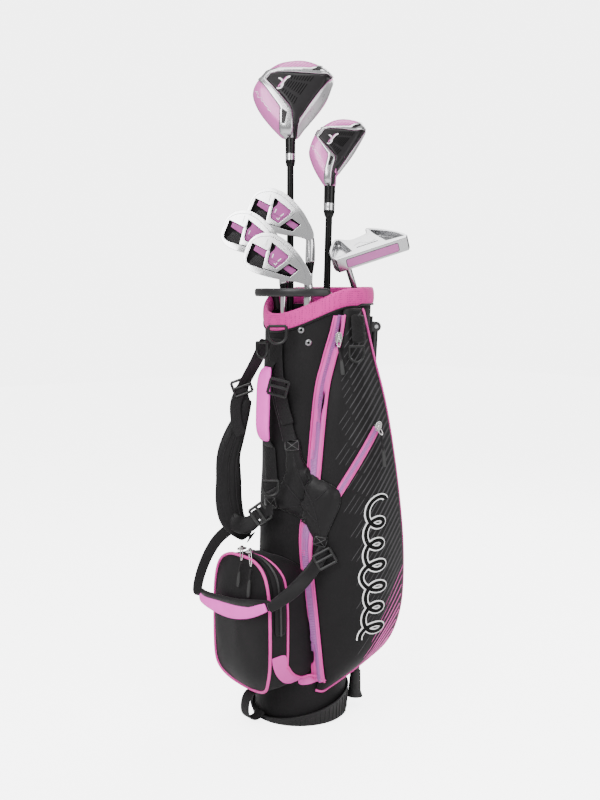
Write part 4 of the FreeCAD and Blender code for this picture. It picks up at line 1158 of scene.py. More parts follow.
GRIP_RUBBER = grained("grip_rubber_black", (0.018, 0.018, 0.018), 0.75, scale=420.0, depth=0.0003)
FACE_SILVER = grained("face_milled_silver", (0.60, 0.60, 0.61), 0.36, 0.7, scale=2600.0, depth=0.00004)

# Each club's place: where its butt stands, where it passes the mouth, and its shaft's length.
CLUBS = {
    "driver": ((-44.5, 14.5), (-62.8, 30.1), 897), "wood": ((-8, 40), (-4, 58), 823),
    "iron_seven": ((4.7, -3.7), (1.4, 18), 707), "iron_nine": ((-12.3, -38.5), (-7.5, -25.8), 674),
    "wedge": ((34, -21.4), (35.4, -9.9), 636), "putter": ((40, 22), (56.1, 65.3), 655),
}


def head_space(name):
    """The frame of a club's head: +Z on along the shaft, -Y towards the front."""
    foot, mouth, length = CLUBS[name]
    lean = Vector((mouth[0] - foot[0], mouth[1] - foot[1], 635))
    turn = UP.rotation_difference(lean).to_matrix().to_4x4()
    return Matrix.Translation(mm(*foot, 15)) @ turn @ FRONT @ Matrix.Translation((0, 0, length * MM))


def turned(name, profile, place, mat, body, nodes=()):
    """A turned piece: a profile of (radius, height) from the top down, spun about the place's Z."""
    mesh = bpy.data.meshes.new(name)
    verts = [(r * MM, 0, z * MM) for r, z in profile]
    mesh.from_pydata(verts, [(i, i + 1) for i in range(len(verts) - 1)], [])
    obj = bpy.data.objects.new(name, mesh)
    bpy.context.scene.collection.objects.link(obj)
    mod = obj.modifiers.new("spin", "SCREW")
    mod.steps = mod.render_steps = 48
    mod.use_merge_vertices = True
    mod.merge_threshold = 1e-6
    graph = bpy.context.evaluated_depsgraph_get()
    obj.data = bpy.data.meshes.new_from_object(obj.evaluated_get(graph))
    obj.modifiers.clear()
    obj.data.transform(place)
    finish_piece(obj, mat, body, nodes)
    obj.data.set_sharp_from_angle(angle=math.radians(35))
    return obj


def welled(name, outline, wells, top, floor, back, place, mat, body, nodes=(), bevel=1.0):
    """A solid plate over an (x, z) outline, with wells sunk into its front. top and floor give depths."""
    work = bmesh.new()

    def ring(points, depth):
        return [work.verts.new((x * MM, depth(x, z) * MM, z * MM)) for x, z in points]

    def join(a, b):
        for i in range(len(a)):
            k = (i + 1) % len(a)
            work.faces.new((a[i], a[k], b[k], b[i]))

    rims = [ring(points, top) for points in [outline] + wells]
    edges = [work.edges.new((r[i], r[(i + 1) % len(r)])) for r in rims for i in range(len(r))]
    bmesh.ops.triangle_fill(work, edges=edges, use_beauty=True)
    rear = ring(outline, back)
    join(rims[0], rear)
    work.faces.new(rear)
    for rim, points in zip(rims[1:], wells):
        bed = ring(points, floor)
        join(rim, bed)
        work.faces.new(bed)
    bmesh.ops.recalc_face_normals(work, faces=work.faces)
    bmesh.ops.transform(work, matrix=place, verts=work.verts)
    mesh = bpy.data.meshes.new(name)
    work.to_mesh(mesh)
    work.free()
    obj = bpy.data.objects.new(name, mesh)
    bpy.context.scene.collection.objects.link(obj)
    if bevel:
        mod = obj.modifiers.new("edges", "BEVEL")
        mod.width = bevel * MM
        mod.segments = 3
        mod.limit_method = "ANGLE"
        mod.angle_limit = math.radians(40)
        obj.modifiers.new("shade", "WEIGHTED_NORMAL")
    return finish_piece(obj, mat, body, nodes)


def strokes(name, runs, tree, space, lift, radius, mat, body):
    """Thin raised or inked lines that follow a surface, each a list of (x, z) points."""
    made = []
    for run in runs:
        spots = [drop(tree, space, x, z, lift) for x, z in run]
        if None not in spots and len(spots) > 1:
            made.append(spots)
    return line(name, made, radius * MM, mat, body, order=2)


def slot_rows(rows):
    """Rows of short slanted slots. Each row is (first top, first foot, last top, last foot, count)."""
    runs = []
    for a, b, c, d, n in rows:
        for i in range(n):
            t = i / (n - 1)
            top = (a[0] + (c[0] - a[0]) * t, a[1] + (c[1] - a[1]) * t)
            foot = (b[0] + (d[0] - b[0]) * t, b[1] + (d[1] - b[1]) * t)
            runs.append(([top, foot], 1.15))
    return runs


# ---------------------------------------------------------------- driver and fairway wood

# Rings from the middle of the sole to the middle of the crown: depth and share of the outline,
# for the skirt and for the flat face.
WOOD_TILT = -10
SKIRT = [(-0.55, 0.1), (-0.545, 0.32), (-0.53, 0.56), (-0.50, 0.74), (-0.445, 0.86), (-0.33, 0.945),
         (-0.19, 0.988), (-0.04, 1.0), (0.12, 0.975), (0.28, 0.89), (0.40, 0.76), (0.48, 0.55), (0.53, 0.3),
         (0.545, 0.1)]
FACE = [(-0.55, 0.1), (-0.545, 0.32), (-0.53, 0.56), (-0.505, 0.755), (-0.46, 0.785), (-0.33, 0.85),
        (-0.14, 0.94), (0.0, 1.0), (0.1, 0.995), (0.26, 0.93), (0.40, 0.78), (0.48, 0.55), (0.53, 0.3),
        (0.545, 0.1)]


def wood_body(name, outline, face_from, face_to, deep, neck, space, body):
    """The painted shell of a wood: rings of its outline from the sole to the crown."""
    ring = rounded(outline + outline[:1], 3)[:-1]
    mid = (sum(x for x, _ in outline) / len(outline), sum(z for _, z in outline) / len(outline))
    tilt = Matrix.Translation((0, 0, neck * MM)) @ Matrix.Rotation(math.radians(WOOD_TILT), 4, "X")
    place = space @ tilt @ Matrix.Translation((0, 0, -neck * MM))
    rows = []
    for skirt, face in zip(SKIRT, FACE):
        row = []
        for x, z in ring:
            share = 1.0 if x > face_from[0] and face_from[1] > z > face_to[1] else 0.0
            depth = skirt[0] + (face[0] - skirt[0]) * share
            by = skirt[1] + (face[1] - skirt[1]) * share
            row.append(place @ mm(mid[0] + (x - mid[0]) * by, deep * depth, mid[1] + (z - mid[1]) * by))
        rows.append(row)
    verts, faces = grid(rows, True, True)
    return piece(name + "_shell", verts, faces, HEAD_PINK, body, [name + "_head"], 2)


def wood_trims(name, space, tree, parts, body):
    """The sole's painted and plated fields, on top of the shell."""
    laid_shape(name + "_sole_panel", [parts["panel"]], tree, space, 1.0, HEAD_BLACK, body, cell=2,
               thick=0.0012)
    band = laid_shape(name + "_silver_band", [parts["band"]], tree, space, 1.6, SILVER, body, cell=2,
                      thick=0.0018)
    laid_shape(name + "_face_plate", [parts["face"]], tree, space, 0.9, FACE_SILVER, body, cell=2,
               thick=0.001)
    top = tree_of(band)
    for k, window in enumerate(parts["windows"]):
        laid_shape(f"{name}_window_{k}", [window], top, space, 0.35, HEAD_BLACK, body, cell=3)
    # Near-black strips stand for the slots: painted shade in the grooves.
    laid_strips(name + "_sole_slots", slot_rows(parts["slots"]), tree, space, 1.2, SLOT_SHADE, body, cut=3)
    x, z = parts["emblem"]
    s = parts["scale"]
    arc = [(x - 7 * s + 7 * s * math.sin(a / 10 * 3.6), z + 8.5 * s * math.cos(a / 10 * 3.6) - 3 * s)
           for a in range(11)]
    laid_strips(name + "_emblem_white",
                [(arc, 2.6 * s), ([(x - 4 * s, z - 7 * s), (x + 8 * s, z + 7.5 * s)], 2.4 * s),
                                         ([(x + 4 * s, z + 5 * s), (x + 12 * s, z + 8.5 * s)], 3.0 * s)],
                                         tree, space, 1.3,
                ENAMEL_WHITE, body, cut=1.5, ends=0.4)
    laid_strips(name + "_emblem_pink", [([(x - 8 * s, z - 9 * s), (x + 6 * s, z + 8 * s)], 1.6 * s)], tree,
                space, 1.5, HEAD_PINK, body, cut=2, ends=0.5)
    # Fine slanted lines across the upper painted field.
    lines = []
    for x0, z0, x1, z1 in parts["lines"]:
        lines.append([(x0 + (x1 - x0) * t / 6, z0 + (z1 - z0) * t / 6) for t in range(7)])
    strokes(name + "_skirt_lines", lines, tree, space, 0.1, 0.36, LINE_PINK, body)
    strokes(name + "_skirt_motif", parts["motif"], tree, space, 0.1, 0.42 * s, ENAMEL_WHITE, body)
    dots = [[(x, z), (x + 0.9, z + 0.3)] for x, z in parts["dots"]]
    strokes(name + "_marks", dots, tree_of(band, bpy.data.objects[name + "_face_plate"]), space, 0.05, 0.4,
            ENGRAVED, body)


def wood_neck(name, space, body, rad, band, low, shaft):
    """Black hosel, plated band and tapered ferrule, from the head down."""
    top = 12
    turned(name + "_hosel", [(0.01, top), (rad + 0.6, top), (rad + 0.3, 2), (rad, band[0] + 0.4),
                             (rad - 0.4, band[0])],
           space, FERRULE, body)
    turned(name + "_band", [(rad - 1, band[0]), (rad + 0.1, band[0]), (rad + 0.25, band[0] - 0.6),
                            (rad - 0.15, (band[0] + band[1]) / 2), (rad + 0.1, band[1] + 0.6),
                            (rad - 1, band[1])], space,
           SILVER, body)
    turned(name + "_collar", [(rad - 1, band[1]), (rad, band[1]), (rad, band[1] - 2),
                              (shaft + 1.6, low + 2.2), (shaft + 0.5, low), (shaft - 0.6, low)], space,
                              FERRULE, body, [name + "_ferrule"])


def zigzag(x0, z0, x1, z1, tall, count):
    """A small hand-drawn looking wave between two points."""
    run = math.hypot(x1 - x0, z1 - z0)
    nx, nz = -(z1 - z0) / run, (x1 - x0) / run
    out = []
    for i in range(count * 6 + 1):
        t = i / (count * 6)
        s = math.sin(t * count * 2 * math.pi) * tall * (0.6 + 0.4 * math.cos(t * 5))
        out.append((x0 + (x1 - x0) * t + nx * s, z0 + (z1 - z0) * t + nz * s))
    return out


def make_driver():
    """The driver: its outline, sole fields and neck."""
    space = head_space("driver")
    outline = [(-13.8, 9.7), (-33, 30), (-51, 54), (-61, 77), (-60, 93), (-52, 107), (-39, 121), (-20, 133.5),
               (0, 138), (20, 139), (39, 134.5), (55, 126.5), (67, 117), (70, 109), (69, 101), (59, 73.5),
               (43, 50), (23, 26), (9, 8.7)]
    shell = wood_body("driver", outline, (8, 112), (0, 8), 44, 8, space, "driver")
    tree = tree_of(shell)
    black = [(-19, 115.6), (-31, 113.2), (-39, 103.6), (-29.7, 94.1), (-13.9, 76.2), (-2, 61.5), (2.4, 53),
             (4, 38), (4.4, 22), (5.4, 8), (9.2, 11.5), (11.9, 31), (15, 40), (22, 50), (32, 65),
             (47.6, 86.1), (58.5, 101), (68, 110.2), (57.5, 112.8), (47.6, 112.2), (24, 113.6), (0, 115.3)]
    band = [(-51.5, 104), (-49, 110), (-42.6, 117.6), (-34, 119.8), (-19.8, 122.4), (11.9, 123.2),
            (33, 122.6), (44, 126.2), (51.6, 128), (59.5, 123.4), (66.5, 116.2), (68.6, 111), (57.5, 113.4),
            (47.6, 112.8), (24, 114.2), (0, 116), (-19, 116.2), (-31.2, 113.8), (-39.8, 103.6), (-30.2, 93.6),
            (-14.4, 75.8), (-2.5, 61), (1.8, 53), (3.4, 38), (3.8, 22), (4.2, 9), (-0.5, 7.5), (-8, 10),
            (-15.5, 17), (-17.4, 24), (-17.4, 58.4), (-29.7, 75.8), (-39.7, 90.1)]
    face = [(69.2, 107.5), (68.6, 100), (61.5, 80.5), (47, 57), (29.8, 34), (10.5, 12), (12.6, 31),
            (15.8, 39.4), (22.8, 49.4), (32.8, 64.4), (48.4, 85.4), (59.3, 100.2)]
    lines = [(-26 + 6.2 * k, 124.5 - 0.1 * k, -14 + 6.2 * k, 131.5 + (0.8 if k < 9 else -0.8 * (k - 8)))
             for k in range(12)]
    lines += [(-36 + 6.2 * k, 123 + 0.2 * k, -31 + 6.2 * k, 126.2 + 0.2 * k) for k in range(3)]
    parts = {"panel": black, "band": band, "face": face, "scale": 1.0, "emblem": (-12, 99.5),
             "windows": [[(33.7, 118.6), (42.6, 124.2), (53, 125.8), (55.2, 124), (46.6, 118.2)],
                         [(-13.6, 56.2), (-5.2, 49.6), (-9, 31.4), (-14.4, 32)]],
             "slots": [((4.4, 109.5), (1, 103), (37.3, 107.6), (30.7, 99.6), 8),
                       ((-1.6, 101), (-7.9, 92.1), (26.8, 95.1), (14.9, 77.8), 8),
                       ((-9.9, 88.1), (-13.5, 82.6), (10.9, 73.3), (5, 62.3), 7)],
             "lines": lines,
             "motif": [zigzag(-55, 82, -33, 53, 2.6, 4), [(-57, 85), (-52, 84)], [(-36, 55), (-31, 51)]],
             "dots": [(-44, 109), (-42.6, 112), (48, 81), (52, 77), (54, 80), (51, 72), (33, 59), (36, 56),
                      (32, 52), (28, 55), (27, 49), (24, 45), (29, 42), (34, 46), (38, 50)]}
    wood_trims("driver", space, tree, parts, "driver")
    wood_neck("driver", space, "driver", 7.9, (-13.9, -24.6), -33.7, 5.5)


def make_wood():
    """The fairway wood: its outline, sole fields and neck."""
    space = head_space("wood")
    outline = [(-8.3, 3.5), (-14, 11), (-25.8, 30.6), (-33.6, 50), (-34.6, 61.6), (-30, 78), (-22, 92.8),
               (-2.6, 108), (16.8, 113.6), (36, 112), (47.8, 108), (55.7, 98.4), (53.6, 88.8), (36, 56),
               (16.8, 28.8), (10, 19.2), (9.1, 3.6)]
    shell = wood_body("wood", outline, (8, 98), (0, 4), 36, 6, space, "wood")
    tree = tree_of(shell)
    black = [(-1, 95), (-10.3, 92.9), (-19.7, 80), (-13.2, 72.8), (-2, 61.5), (7, 51.8), (7.4, 45), (4, 33),
             (2.4, 23), (1.9, 6), (7, 8), (7.6, 19), (10, 27.5), (17.5, 38.6), (32.7, 62), (44.4, 79.6),
             (54.5, 96.2), (46, 93.6), (36.6, 91.9), (17.1, 94.3)]
    band = [(-25, 84.5), (-22.4, 90.4), (-18.1, 96), (-9, 97.4), (1.4, 98.2), (28.8, 99.6), (38, 104.4),
            (48, 106.6), (53.6, 101.6), (55, 97.2), (46, 94.2), (36.6, 92.5), (17.1, 94.9), (-1, 95.6),
            (-10.7, 93.5), (-20.5, 80), (-13.7, 72.3), (-2.5, 61), (6.4, 51.6), (6.8, 45), (3.4, 33),
            (1.8, 23), (1.3, 5), (-2.5, 4.2), (-7.6, 8.4), (-9.3, 14), (-9.3, 30.8), (-6.8, 41), (-4.4, 53.2),
            (-14.2, 67.9)]
    face = [(55, 95), (53.4, 88.8), (36, 57.4), (17.6, 30.8), (9.6, 18), (9.4, 22), (11, 27), (18.4, 38),
            (33.5, 61.4), (45.2, 79)]
    lines = [(-12 + 5.4 * k, 98.4 + 0.2 * k, -4 + 5.4 * k, 104.5 + (0.6 * k if k < 5 else 3.4 - 0.4 * k))
             for k in range(9)]
    parts = {"panel": black, "band": band, "face": face, "scale": 0.8, "emblem": (1.5, 79.5),
             "windows": [[(31.7, 96.8), (36.6, 101.8), (45.6, 104), (46, 101.2), (37.8, 96.8)],
                         [(0, 52.2), (4.2, 48.8), (-0.3, 36.6), (-4.4, 36.8)]],
             "slots": [((15.1, 89.8), (11.2, 83.9), (36, 89.6), (32, 83.4), 7),
                       ((9.2, 81.6), (2.8, 72.4), (28.8, 80.6), (17.1, 65.9), 8),
                       ((3.4, 70.8), (0.4, 66), (16.1, 61.1), (9.6, 54.2), 6)],
             "lines": lines, "motif": [zigzag(-30, 66, -15, 47, 1.9, 4), [(-31, 68), (-28, 67)]],
             "dots": [(-19.5, 88.5), (-18.4, 91), (36, 63), (38, 66), (34, 58), (29, 51), (26, 47), (31, 55)]}
    wood_trims("wood", space, tree, parts, "wood")
    wood_neck("wood", space, "wood", 8.7, (-21.8, -33.4), -43.5, 5.6)


# ---------------------------------------------------------------- irons

BLADE = [(-10, 37), (-20, 39.6), (-33, 41), (-54, 44.5), (-78, 50.5), (-91, 56.5), (-98, 64), (-101, 72),
         (-99.5, 83), (-94.5, 96.5), (-87, 106), (-77, 112), (-63, 114), (-49, 110), (-36, 102), (-24, 91),
         (-12, 77), (-4, 64), (1.5, 54), (5, 44), (4.5, 37), (-2, 34.5)]
WELL = [(-87.4, 98), (-64, 86.5), (-60.5, 87), (-57.5, 99.2), (-31.6, 79), (-32.2, 75.9), (-36, 71),
        (-31, 67.8), (-16.4, 57.8), (-28.7, 46.8), (-47, 51.5), (-71, 58.5), (-90, 64.5), (-95.5, 69),
        (-96, 75)]


def iron_back(x, z):
    """The depth of an iron's back, which slopes from a thick sole to a thin top line."""
    return max(-12.0, -7 + 0.14 * ((z - 95) * 0.866 - (x + 60) * 0.5))


def iron_mark(number):
    """A small figure drawn with straight strokes, about 4 mm tall."""
    strokes_of = {7: [[(0, 4), (3, 4), (1, 0)]],
                  9: [[(2.6, 2.2), (0.2, 2.4), (0.4, 4), (2.6, 4), (2.6, 1), (1, 0)]],
                  0: [[(0, 3.6), (0.8, 0.4), (1.7, 3), (2.6, 0.4), (3.4, 3.6)]]}
    turn = math.radians(-28)
    return [[(-56 + x * math.cos(turn) - z * math.sin(turn), 106 + x * math.sin(turn) + z * math.cos(turn))
             for x, z in run] for run in strokes_of[number]]


def make_iron(name, number, grow):
    """One iron: a cavity-backed head with a badge, its number and its hosel."""
    space = head_space(name)
    size = space @ Matrix.Scale(grow, 4)
    ring = rounded(BLADE + BLADE[:1], 3)[:-1]
    lift = lambda up: (lambda x, z: iron_back(x, z) - up)
    level = lambda y: (lambda x, z: y)
    blade = welled(name + "_blade", ring, [WELL], iron_back, level(-1.5), level(4), size, POLISHED, name,
                   [name + "_head"], 1.3)
    welled(name + "_cavity", WELL, [], level(-2.1), None, level(-1), size, CAVITY_BLACK, name, bevel=0)
    web = [(-64, 86.8), (-66, 84), (-71.4, 60), (-49.3, 53.6), (-30, 67.6), (-35.6, 71.4), (-50.8, 59.4),
           (-62.4, 66.4), (-63.4, 71.4), (-60, 86.4)]
    welled(name + "_web", web, [], lift(-1.2), None, level(-1.8), size, POLISHED, name, bevel=0.6)
    badge = [(-51.6, 94.4), (-31.9, 78.8), (-32.4, 76.1), (-37.4, 70.2), (-50.8, 60.4), (-61.6, 67.3),
             (-62.3, 71.6), (-59.2, 83), (-54, 87.8), (-52.2, 90.9)]
    welled(name + "_badge", badge, [], level(-6.2), None, level(-1.8), size, ENAMEL_PINK, name, bevel=0.5)
    for part, outline in (("toe", [(-82.1, 94.6), (-65, 86), (-67.6, 75.6), (-85.3, 87.1)]),
                          ("heel", [(-32.8, 65), (-19, 57.6), (-26.6, 50.8), (-39.6, 59.4)])):
        welled(f"{name}_bar_{part}", outline, [], level(-4.6), None, level(-1.8), size, ENAMEL_PINK, name,
               bevel=0.4)
    hatch = []
    for k in range(13):
        # Slanted ribs on the toe's dark floor.
        x = -100 + k * 2.6
        hatch.append([(x, 60.5), (x + 24, 84.5)])
    kept = []
    for a, b in hatch:
        run = [(a[0] + (b[0] - a[0]) * t / 24, a[1] + (b[1] - a[1]) * t / 24) for t in range(25)]
        run = [(x, z) for x, z in run if -92 < x < -68.5 - (84 - z) * 0.1 and z > 62.6 - (x + 92) * 0.22
               and z < 84.2 - (x + 88) * 0.52]
        if len(run) > 2:
            kept.append([run[0], run[-1]])
    kept += [[(-42 + 3 * k, 55 - 0.7 * k), (-40 + 3 * k, 56.6 - 0.7 * k)] for k in range(5)]
    runs = [[size @ mm(x, -2.3, z) for x, z in run] for run in kept]
    line(name + "_hatch", runs, 0.00032, HATCH_GREY, name, order=2)
    ink = [[(-63.4, 104.4), (-66.6, 92.4)], [(-25.8, 75.1), (-31, 69.8)]] + iron_mark(number)
    runs = [[size @ mm(x, iron_back(x, z) - 0.02, z) for x, z in run] for run in ink]
    line(name + "_ink", runs, 0.0003, ENGRAVED, name, order=2)
    # A grey line of painted shade along the crease inside the top line.
    crease = rounded([(-96, 88), (-90, 98.5), (-82, 105), (-70, 108.2), (-58, 107.4), (-46, 101.6),
                      (-34, 91.6), (-22, 79), (-12, 66), (-6, 55), (-5, 47), (-9, 43)])
    line(name + "_crease", [[size @ mm(x, iron_back(x, z) - 0.05, z) for x, z in crease]], 0.00034,
         CREASE_SHADE, name)
    marks = [[(-56.8, 76), (-54.6, 81.6)], [(-48, 70.4), (-43, 74.6)],
             [(-54, 67.4), (-51.4, 64.8), (-49.4, 68)]]
    line(name + "_badge_marks", [[size @ mm(x, -6.3, z) for x, z in run] for run in marks], 0.00085,
         ENAMEL_WHITE, name, order=2)
    shield = [(-59.4, 80), (-60.6, 70), (-51, 63.6), (-39.5, 71), (-36.6, 75.4)]
    line(name + "_badge_edge", [[size @ mm(x, -6.25, z) for x, z in shield],
                                [size @ mm(x, -6.25, z) for x, z in ((-59, 74), (-51, 70.6), (-44, 69))]],
                                0.0003,
         HATCH_GREY, name, order=2)
    rows = []
    for z, x, y, wide, deep in ((-1, 0, 0, 7.3, 7.3), (1, 0, 0, 7.8, 7.8), (12, 0, 0, 7.7, 7.6),
                                (24, 0, 0, 7.5, 7.2), (33, -0.2, -0.6, 7.0, 6.6), (41, -1.4, -1.8, 6.6, 6.2),
                                (49, -3.6, -3.0, 6.2, 5.2), (57, -6.6, -3.6, 5.2, 4.2),
                                (64, -10, -3.8, 3.6, 3)):
        rows.append([size @ mm(x + wide * math.cos(a), y + deep * math.sin(a), z)
                     for a in (2 * math.pi * k / 24 for k in range(24))])
    verts, faces = grid(rows, True, True)
    piece(name + "_hosel", verts, faces, POLISHED, name, sub=1)
    turned(name + "_collar", [(6.9, 0.5), (7.2, -1.2), (5.0, -16.6), (4.6, -17.4), (4.2, -17.4)], space,
           FERRULE, name, [name + "_ferrule"])
    return blade


# ---------------------------------------------------------------- putter

def make_putter():
    """A mallet with a lobe at each end, its face set with a pink insert."""
    space = head_space("putter")
    turn = Matrix.Rotation(math.radians(-22), 4, "Y") @ Matrix.Rotation(math.radians(41), 4, "X")
    place = space @ Matrix.Translation(mm(17, -46, 73)) @ turn
    # The plan is drawn in (x, z) and laid flat, so the wells open upwards.
    flat = place @ Matrix.Rotation(math.radians(-90), 4, "X")
    plan = [(-56, 0), (56, 0), (59, 6), (52, 16), (40, 28), (27, 39), (8, 52), (3, 50), (2, 41), (-10, 38),
            (-24, 37), (-36, 44), (-46, 50), (-56, 38), (-62, 22), (-61, 8)]
    left = rounded([(-29, 10), (-44, 7.6), (-57, 7), (-59, 14), (-58, 22), (-52, 36), (-45, 46), (-40, 42),
                    (-35, 28)] +
                   [(-29, 10)], 2)[:-1]
    right = [(26, 9), (53, 7), (46, 17), (38, 25), (26, 35), (9, 47), (11, 40), (14, 32)]
    ring = [(56, 0)] + rounded(plan[2:], 2) + [(-56, 0)]
    head = welled("putter_body", ring, [left, right], lambda x, z: 0.0, lambda x, z: 11.0,
                  lambda x, z: 26.0 if z < 14 else 26.0 - 0.5 * (z - 14), flat, SILVER, "putter",
                  ["putter_head"], 1.1)
    for name, grow, out, mat, nodes, slot in (("putter_insert_rim", 1.1, 0.25, ENGRAVED, (), None),
                                              ("putter_insert_face", 0.0, 0.55, ENAMEL_INSERT,
                                               ["putter_insert"], "putter_insert_pink")):
        half, tall, r = 41 + grow, 7.5 + grow, 2.6 + grow
        corner = []
        for cx, cz, start in ((half - r, tall - r, 0), (-half + r, tall - r, 90), (-half + r, -tall + r, 180),
                              (half - r, -tall + r, 270)):
            corner += [(cx + r * math.cos(math.radians(start + 15 * k)),
                        -13 + cz + r * math.sin(math.radians(start + 15 * k)))
                       for k in range(7)]
        welled(name, corner, [], lambda x, z, o=out: -o, None, lambda x, z: 1.5, place, mat, "putter", nodes,
               bevel=0.2)
    sight = [[place @ mm(-20, 14, 0.05), place @ mm(14, 14, 0.05)]]
    line("putter_sight_line", sight, 0.0006, ENGRAVED, "putter", order=2)
    swirl = [[place @ mm(-19 + 17 * t / 12 * 2 - 3, 20 + 3.4 * math.sin(t / 12 * 2 * math.pi), 0.02)
              for t in range(13)]]
    line("putter_swirl", swirl, 0.0004, FACE_SILVER, "putter", order=3)
    entry = space.inverted() @ (place @ mm(-41, 10, -22))
    bend = [space @ mm(0, 0, -4), space @ mm(0, 0, 8), space @ (mm(0, 0, 8) + (entry - mm(0, 0, 8)) * 0.5),
            place @ mm(-41, 10, -22), place @ mm(-41, 10, -14)]
    line("putter_neck", [bend], 0.0047, SILVER, "putter")
    return head


ENAMEL_INSERT = grained("insert_pink", (0.46, 0.10, 0.34), 0.38, Coat_Weight=0.2)

make_driver()
make_wood()
make_iron("iron_seven", 7, 1.0)
make_iron("iron_nine", 9, 0.98)
make_iron("wedge", 0, 1.0)
make_putter()


# ------------------------------------------------------------------ sliders, rivets, legs

def zip_slider(name, node_name, mid, across, along, out, body, pull, metal=SLIDER_METAL):
    """A zip slider with its bridge and tab, and a cord pull that hangs from it."""
    frame_of = Matrix((across.normalized(), out.normalized() * -1, along.normalized())).transposed().to_4x4()
    place = Matrix.Translation(mid) @ frame_of
    outline = [(-4.6, -7), (4.6, -7), (5.4, 0), (4.2, 6), (1.8, 8.4), (-1.8, 8.4), (-4.2, 6), (-5.4, 0)]
    welled(name + "_body", outline, [], lambda x, z: -2.6, None, lambda x, z: 0.4, place, metal, body,
           [node_name], bevel=0.6)
    arch = [place @ mm(0, -2.4, -4), place @ mm(0, -5.2, -2), place @ mm(0, -5.2, 3), place @ mm(0, -2.4, 5)]
    line(name + "_bridge", [arch], 0.0012, metal, body)
    top, mid_way, foot = pull
    down = (foot - mid_way).normalized()
    wide = down.cross(out).normalized()
    ring = [mid + out * 0.004 + (top - mid) * (0.5 - 0.5 * math.cos(a)) + wide * 0.0027 * math.sin(a)
            for a in (2 * math.pi * k / 12 for k in range(12))]
    line(name + "_ring", [ring], 0.0009, metal, body, cyclic=True)
    line(name + "_loop", [[top, (top + mid_way) / 2 + wide * 0.001, mid_way,
                           mid_way + (foot - mid_way) * 0.3]], 0.0016,
         CORD_BLACK, body)
    strap_sweep(name + "_pull",
                [(mid_way, wide, 3.0, 2.6), (mid_way + (foot - mid_way) * 0.25, wide, 5.6, 3.6),
                                 (mid_way + (foot - mid_way) * 0.8, wide, 6.6, 4.0), (foot, wide, 5.0, 3.0)],
                                 RUBBER, body,
                per=3)


def front_mid(x, z, lift):
    """A point on the front's surface, lifted off it, or at a usual depth where nothing is hit."""
    spot = drop(front_tree, FRONT, x, z, lift)
    return spot if spot else at(x, 80, z)


def make_sliders():
    """The four zip sliders."""
    mid = front_mid(61, 606, 5.5)
    zip_slider("apparel_slider", "apparel_zip_slider", mid, ACROSS, UP, OUT, "apparel_slider",
               (front_mid(61, 592, 9.5), front_mid(64, 574, 8.5), front_mid(66, 550, 8)))
    mid = front_mid(117, 470, 4.2)
    zip_slider("panel_slider", "panel_zip_slider", mid, ACROSS * 0.9 - UP * 0.42,
               UP * 0.9 + ACROSS * 0.42, OUT, "panel_slider", (front_mid(119, 457, 9), front_mid(122, 436, 8),
                       front_mid(124, 408, 8)))
    ball_tree = tree_of(ball)
    for letter, x, falls in (("a", -8, ((-85, 262), (-88, 250), (-90, 226))),
                             ("b", 14, ((-70, 257), (-72, 242), (-74, 215)))):
        spots = [drop(ball_tree, FRONT, r, z, 5) for r, z in falls]
        zip_slider("ball_slider_" + letter, "ball_zip_slider_" + letter,
                   mm(x, -107, 279), Vector((1, 0.3, 0)),
                   Vector((0.3, -1, 0)), UP, "ball_slider_" + letter, spots)


def domed(name, spots, rad, high, mat, nodes=(), hole=0.0):
    """Rivets or eyelets: small turned domes, joined in one piece. Each spot is (place, normal)."""
    made = []
    for i, (mid, normal) in enumerate(spots):
        turn = UP.rotation_difference(normal).to_matrix().to_4x4()
        profile = [(max(0.01, hole), high * (0.3 if hole else 1)), (rad * 0.45, high * 0.95),
                   (rad * 0.8, high * 0.6), (rad, 0.1), (rad, -1.2)]
        place = Matrix.Translation(mid) @ turn
        made.append(turned(f"{name}_{i}", profile, place, mat, "bag", nodes if i == 0 else ()))
    return made


def make_rivets():
    """Rivets and eyelets of the bag."""
    snap = [drop(front_tree, FRONT, x, z, 0.4) for x, z in ((3, 618), (14, 599))]
    domed("side_eyelet", [(snap[0], OUT), (snap[1], OUT)], 5.2, 2.2, RIVET, ["rivets"], 1.6)
    small = [drop(front_tree, FRONT, x, z, 0.6) for x, z in ((69, 654), (112, 622))]
    domed("pocket_rivet", [(s, OUT) for s in small if s], 3.4, 1.8, RIVET)


def paint(names, mat):
    """Gives pieces of the frame one finish."""
    for name in names:
        mesh = bpy.data.objects[name].data
        mesh.materials.clear()
        mesh.materials.append(mat)


def repaint():
    """Better finishes for the frame's pieces that keep their own shapes."""
    paint([c + "_grip" for c in CLUBS], GRIP_RUBBER)
    paint(["driver_shaft", "wood_shaft"], GRAPHITE)
    paint(["iron_seven_shaft", "iron_nine_shaft", "wedge_shaft", "putter_shaft"], CHROME)
    paint(["leg_bracket", "rod_guides"], PLASTIC)
    paint(["leg_pins"], RIVET)
    paint(["leg_near_tube", "leg_far_tube"], LEG_BLACK)
    paint(["leg_near_foot", "leg_far_foot"], RUBBER)
    paint(["push_rod"], LEG_BLACK)
    paint(["stay_rods"], GRAPHITE)


LEG_BLACK = grained("leg_powder_black", (0.014, 0.014, 0.015), 0.35, 0.3)
make_sliders()
make_rivets()
repaint()


# ------------------------------------------------------------------ floor, light, camera

# How strongly the sky lights the bag, below and above, and how bright sky and floor look.
SKY_LIGHT, SKY_SEEN, FLOOR_GLOW = (0.03, 0.8), 5.0, 4.6
# Each lamp: its name, place, size in metres and power in watts.
LAMPS = (("key", at(-900, 1700, 1700), 1.2, 50), ("fill", at(1500, 1500, 1100), 1.4, 24),
         ("rim", at(900, -1300, 1700), 1.2, 30), ("top", at(-100, 100, 2300), 1.2, 24))
FLOOR_SIDE = 12


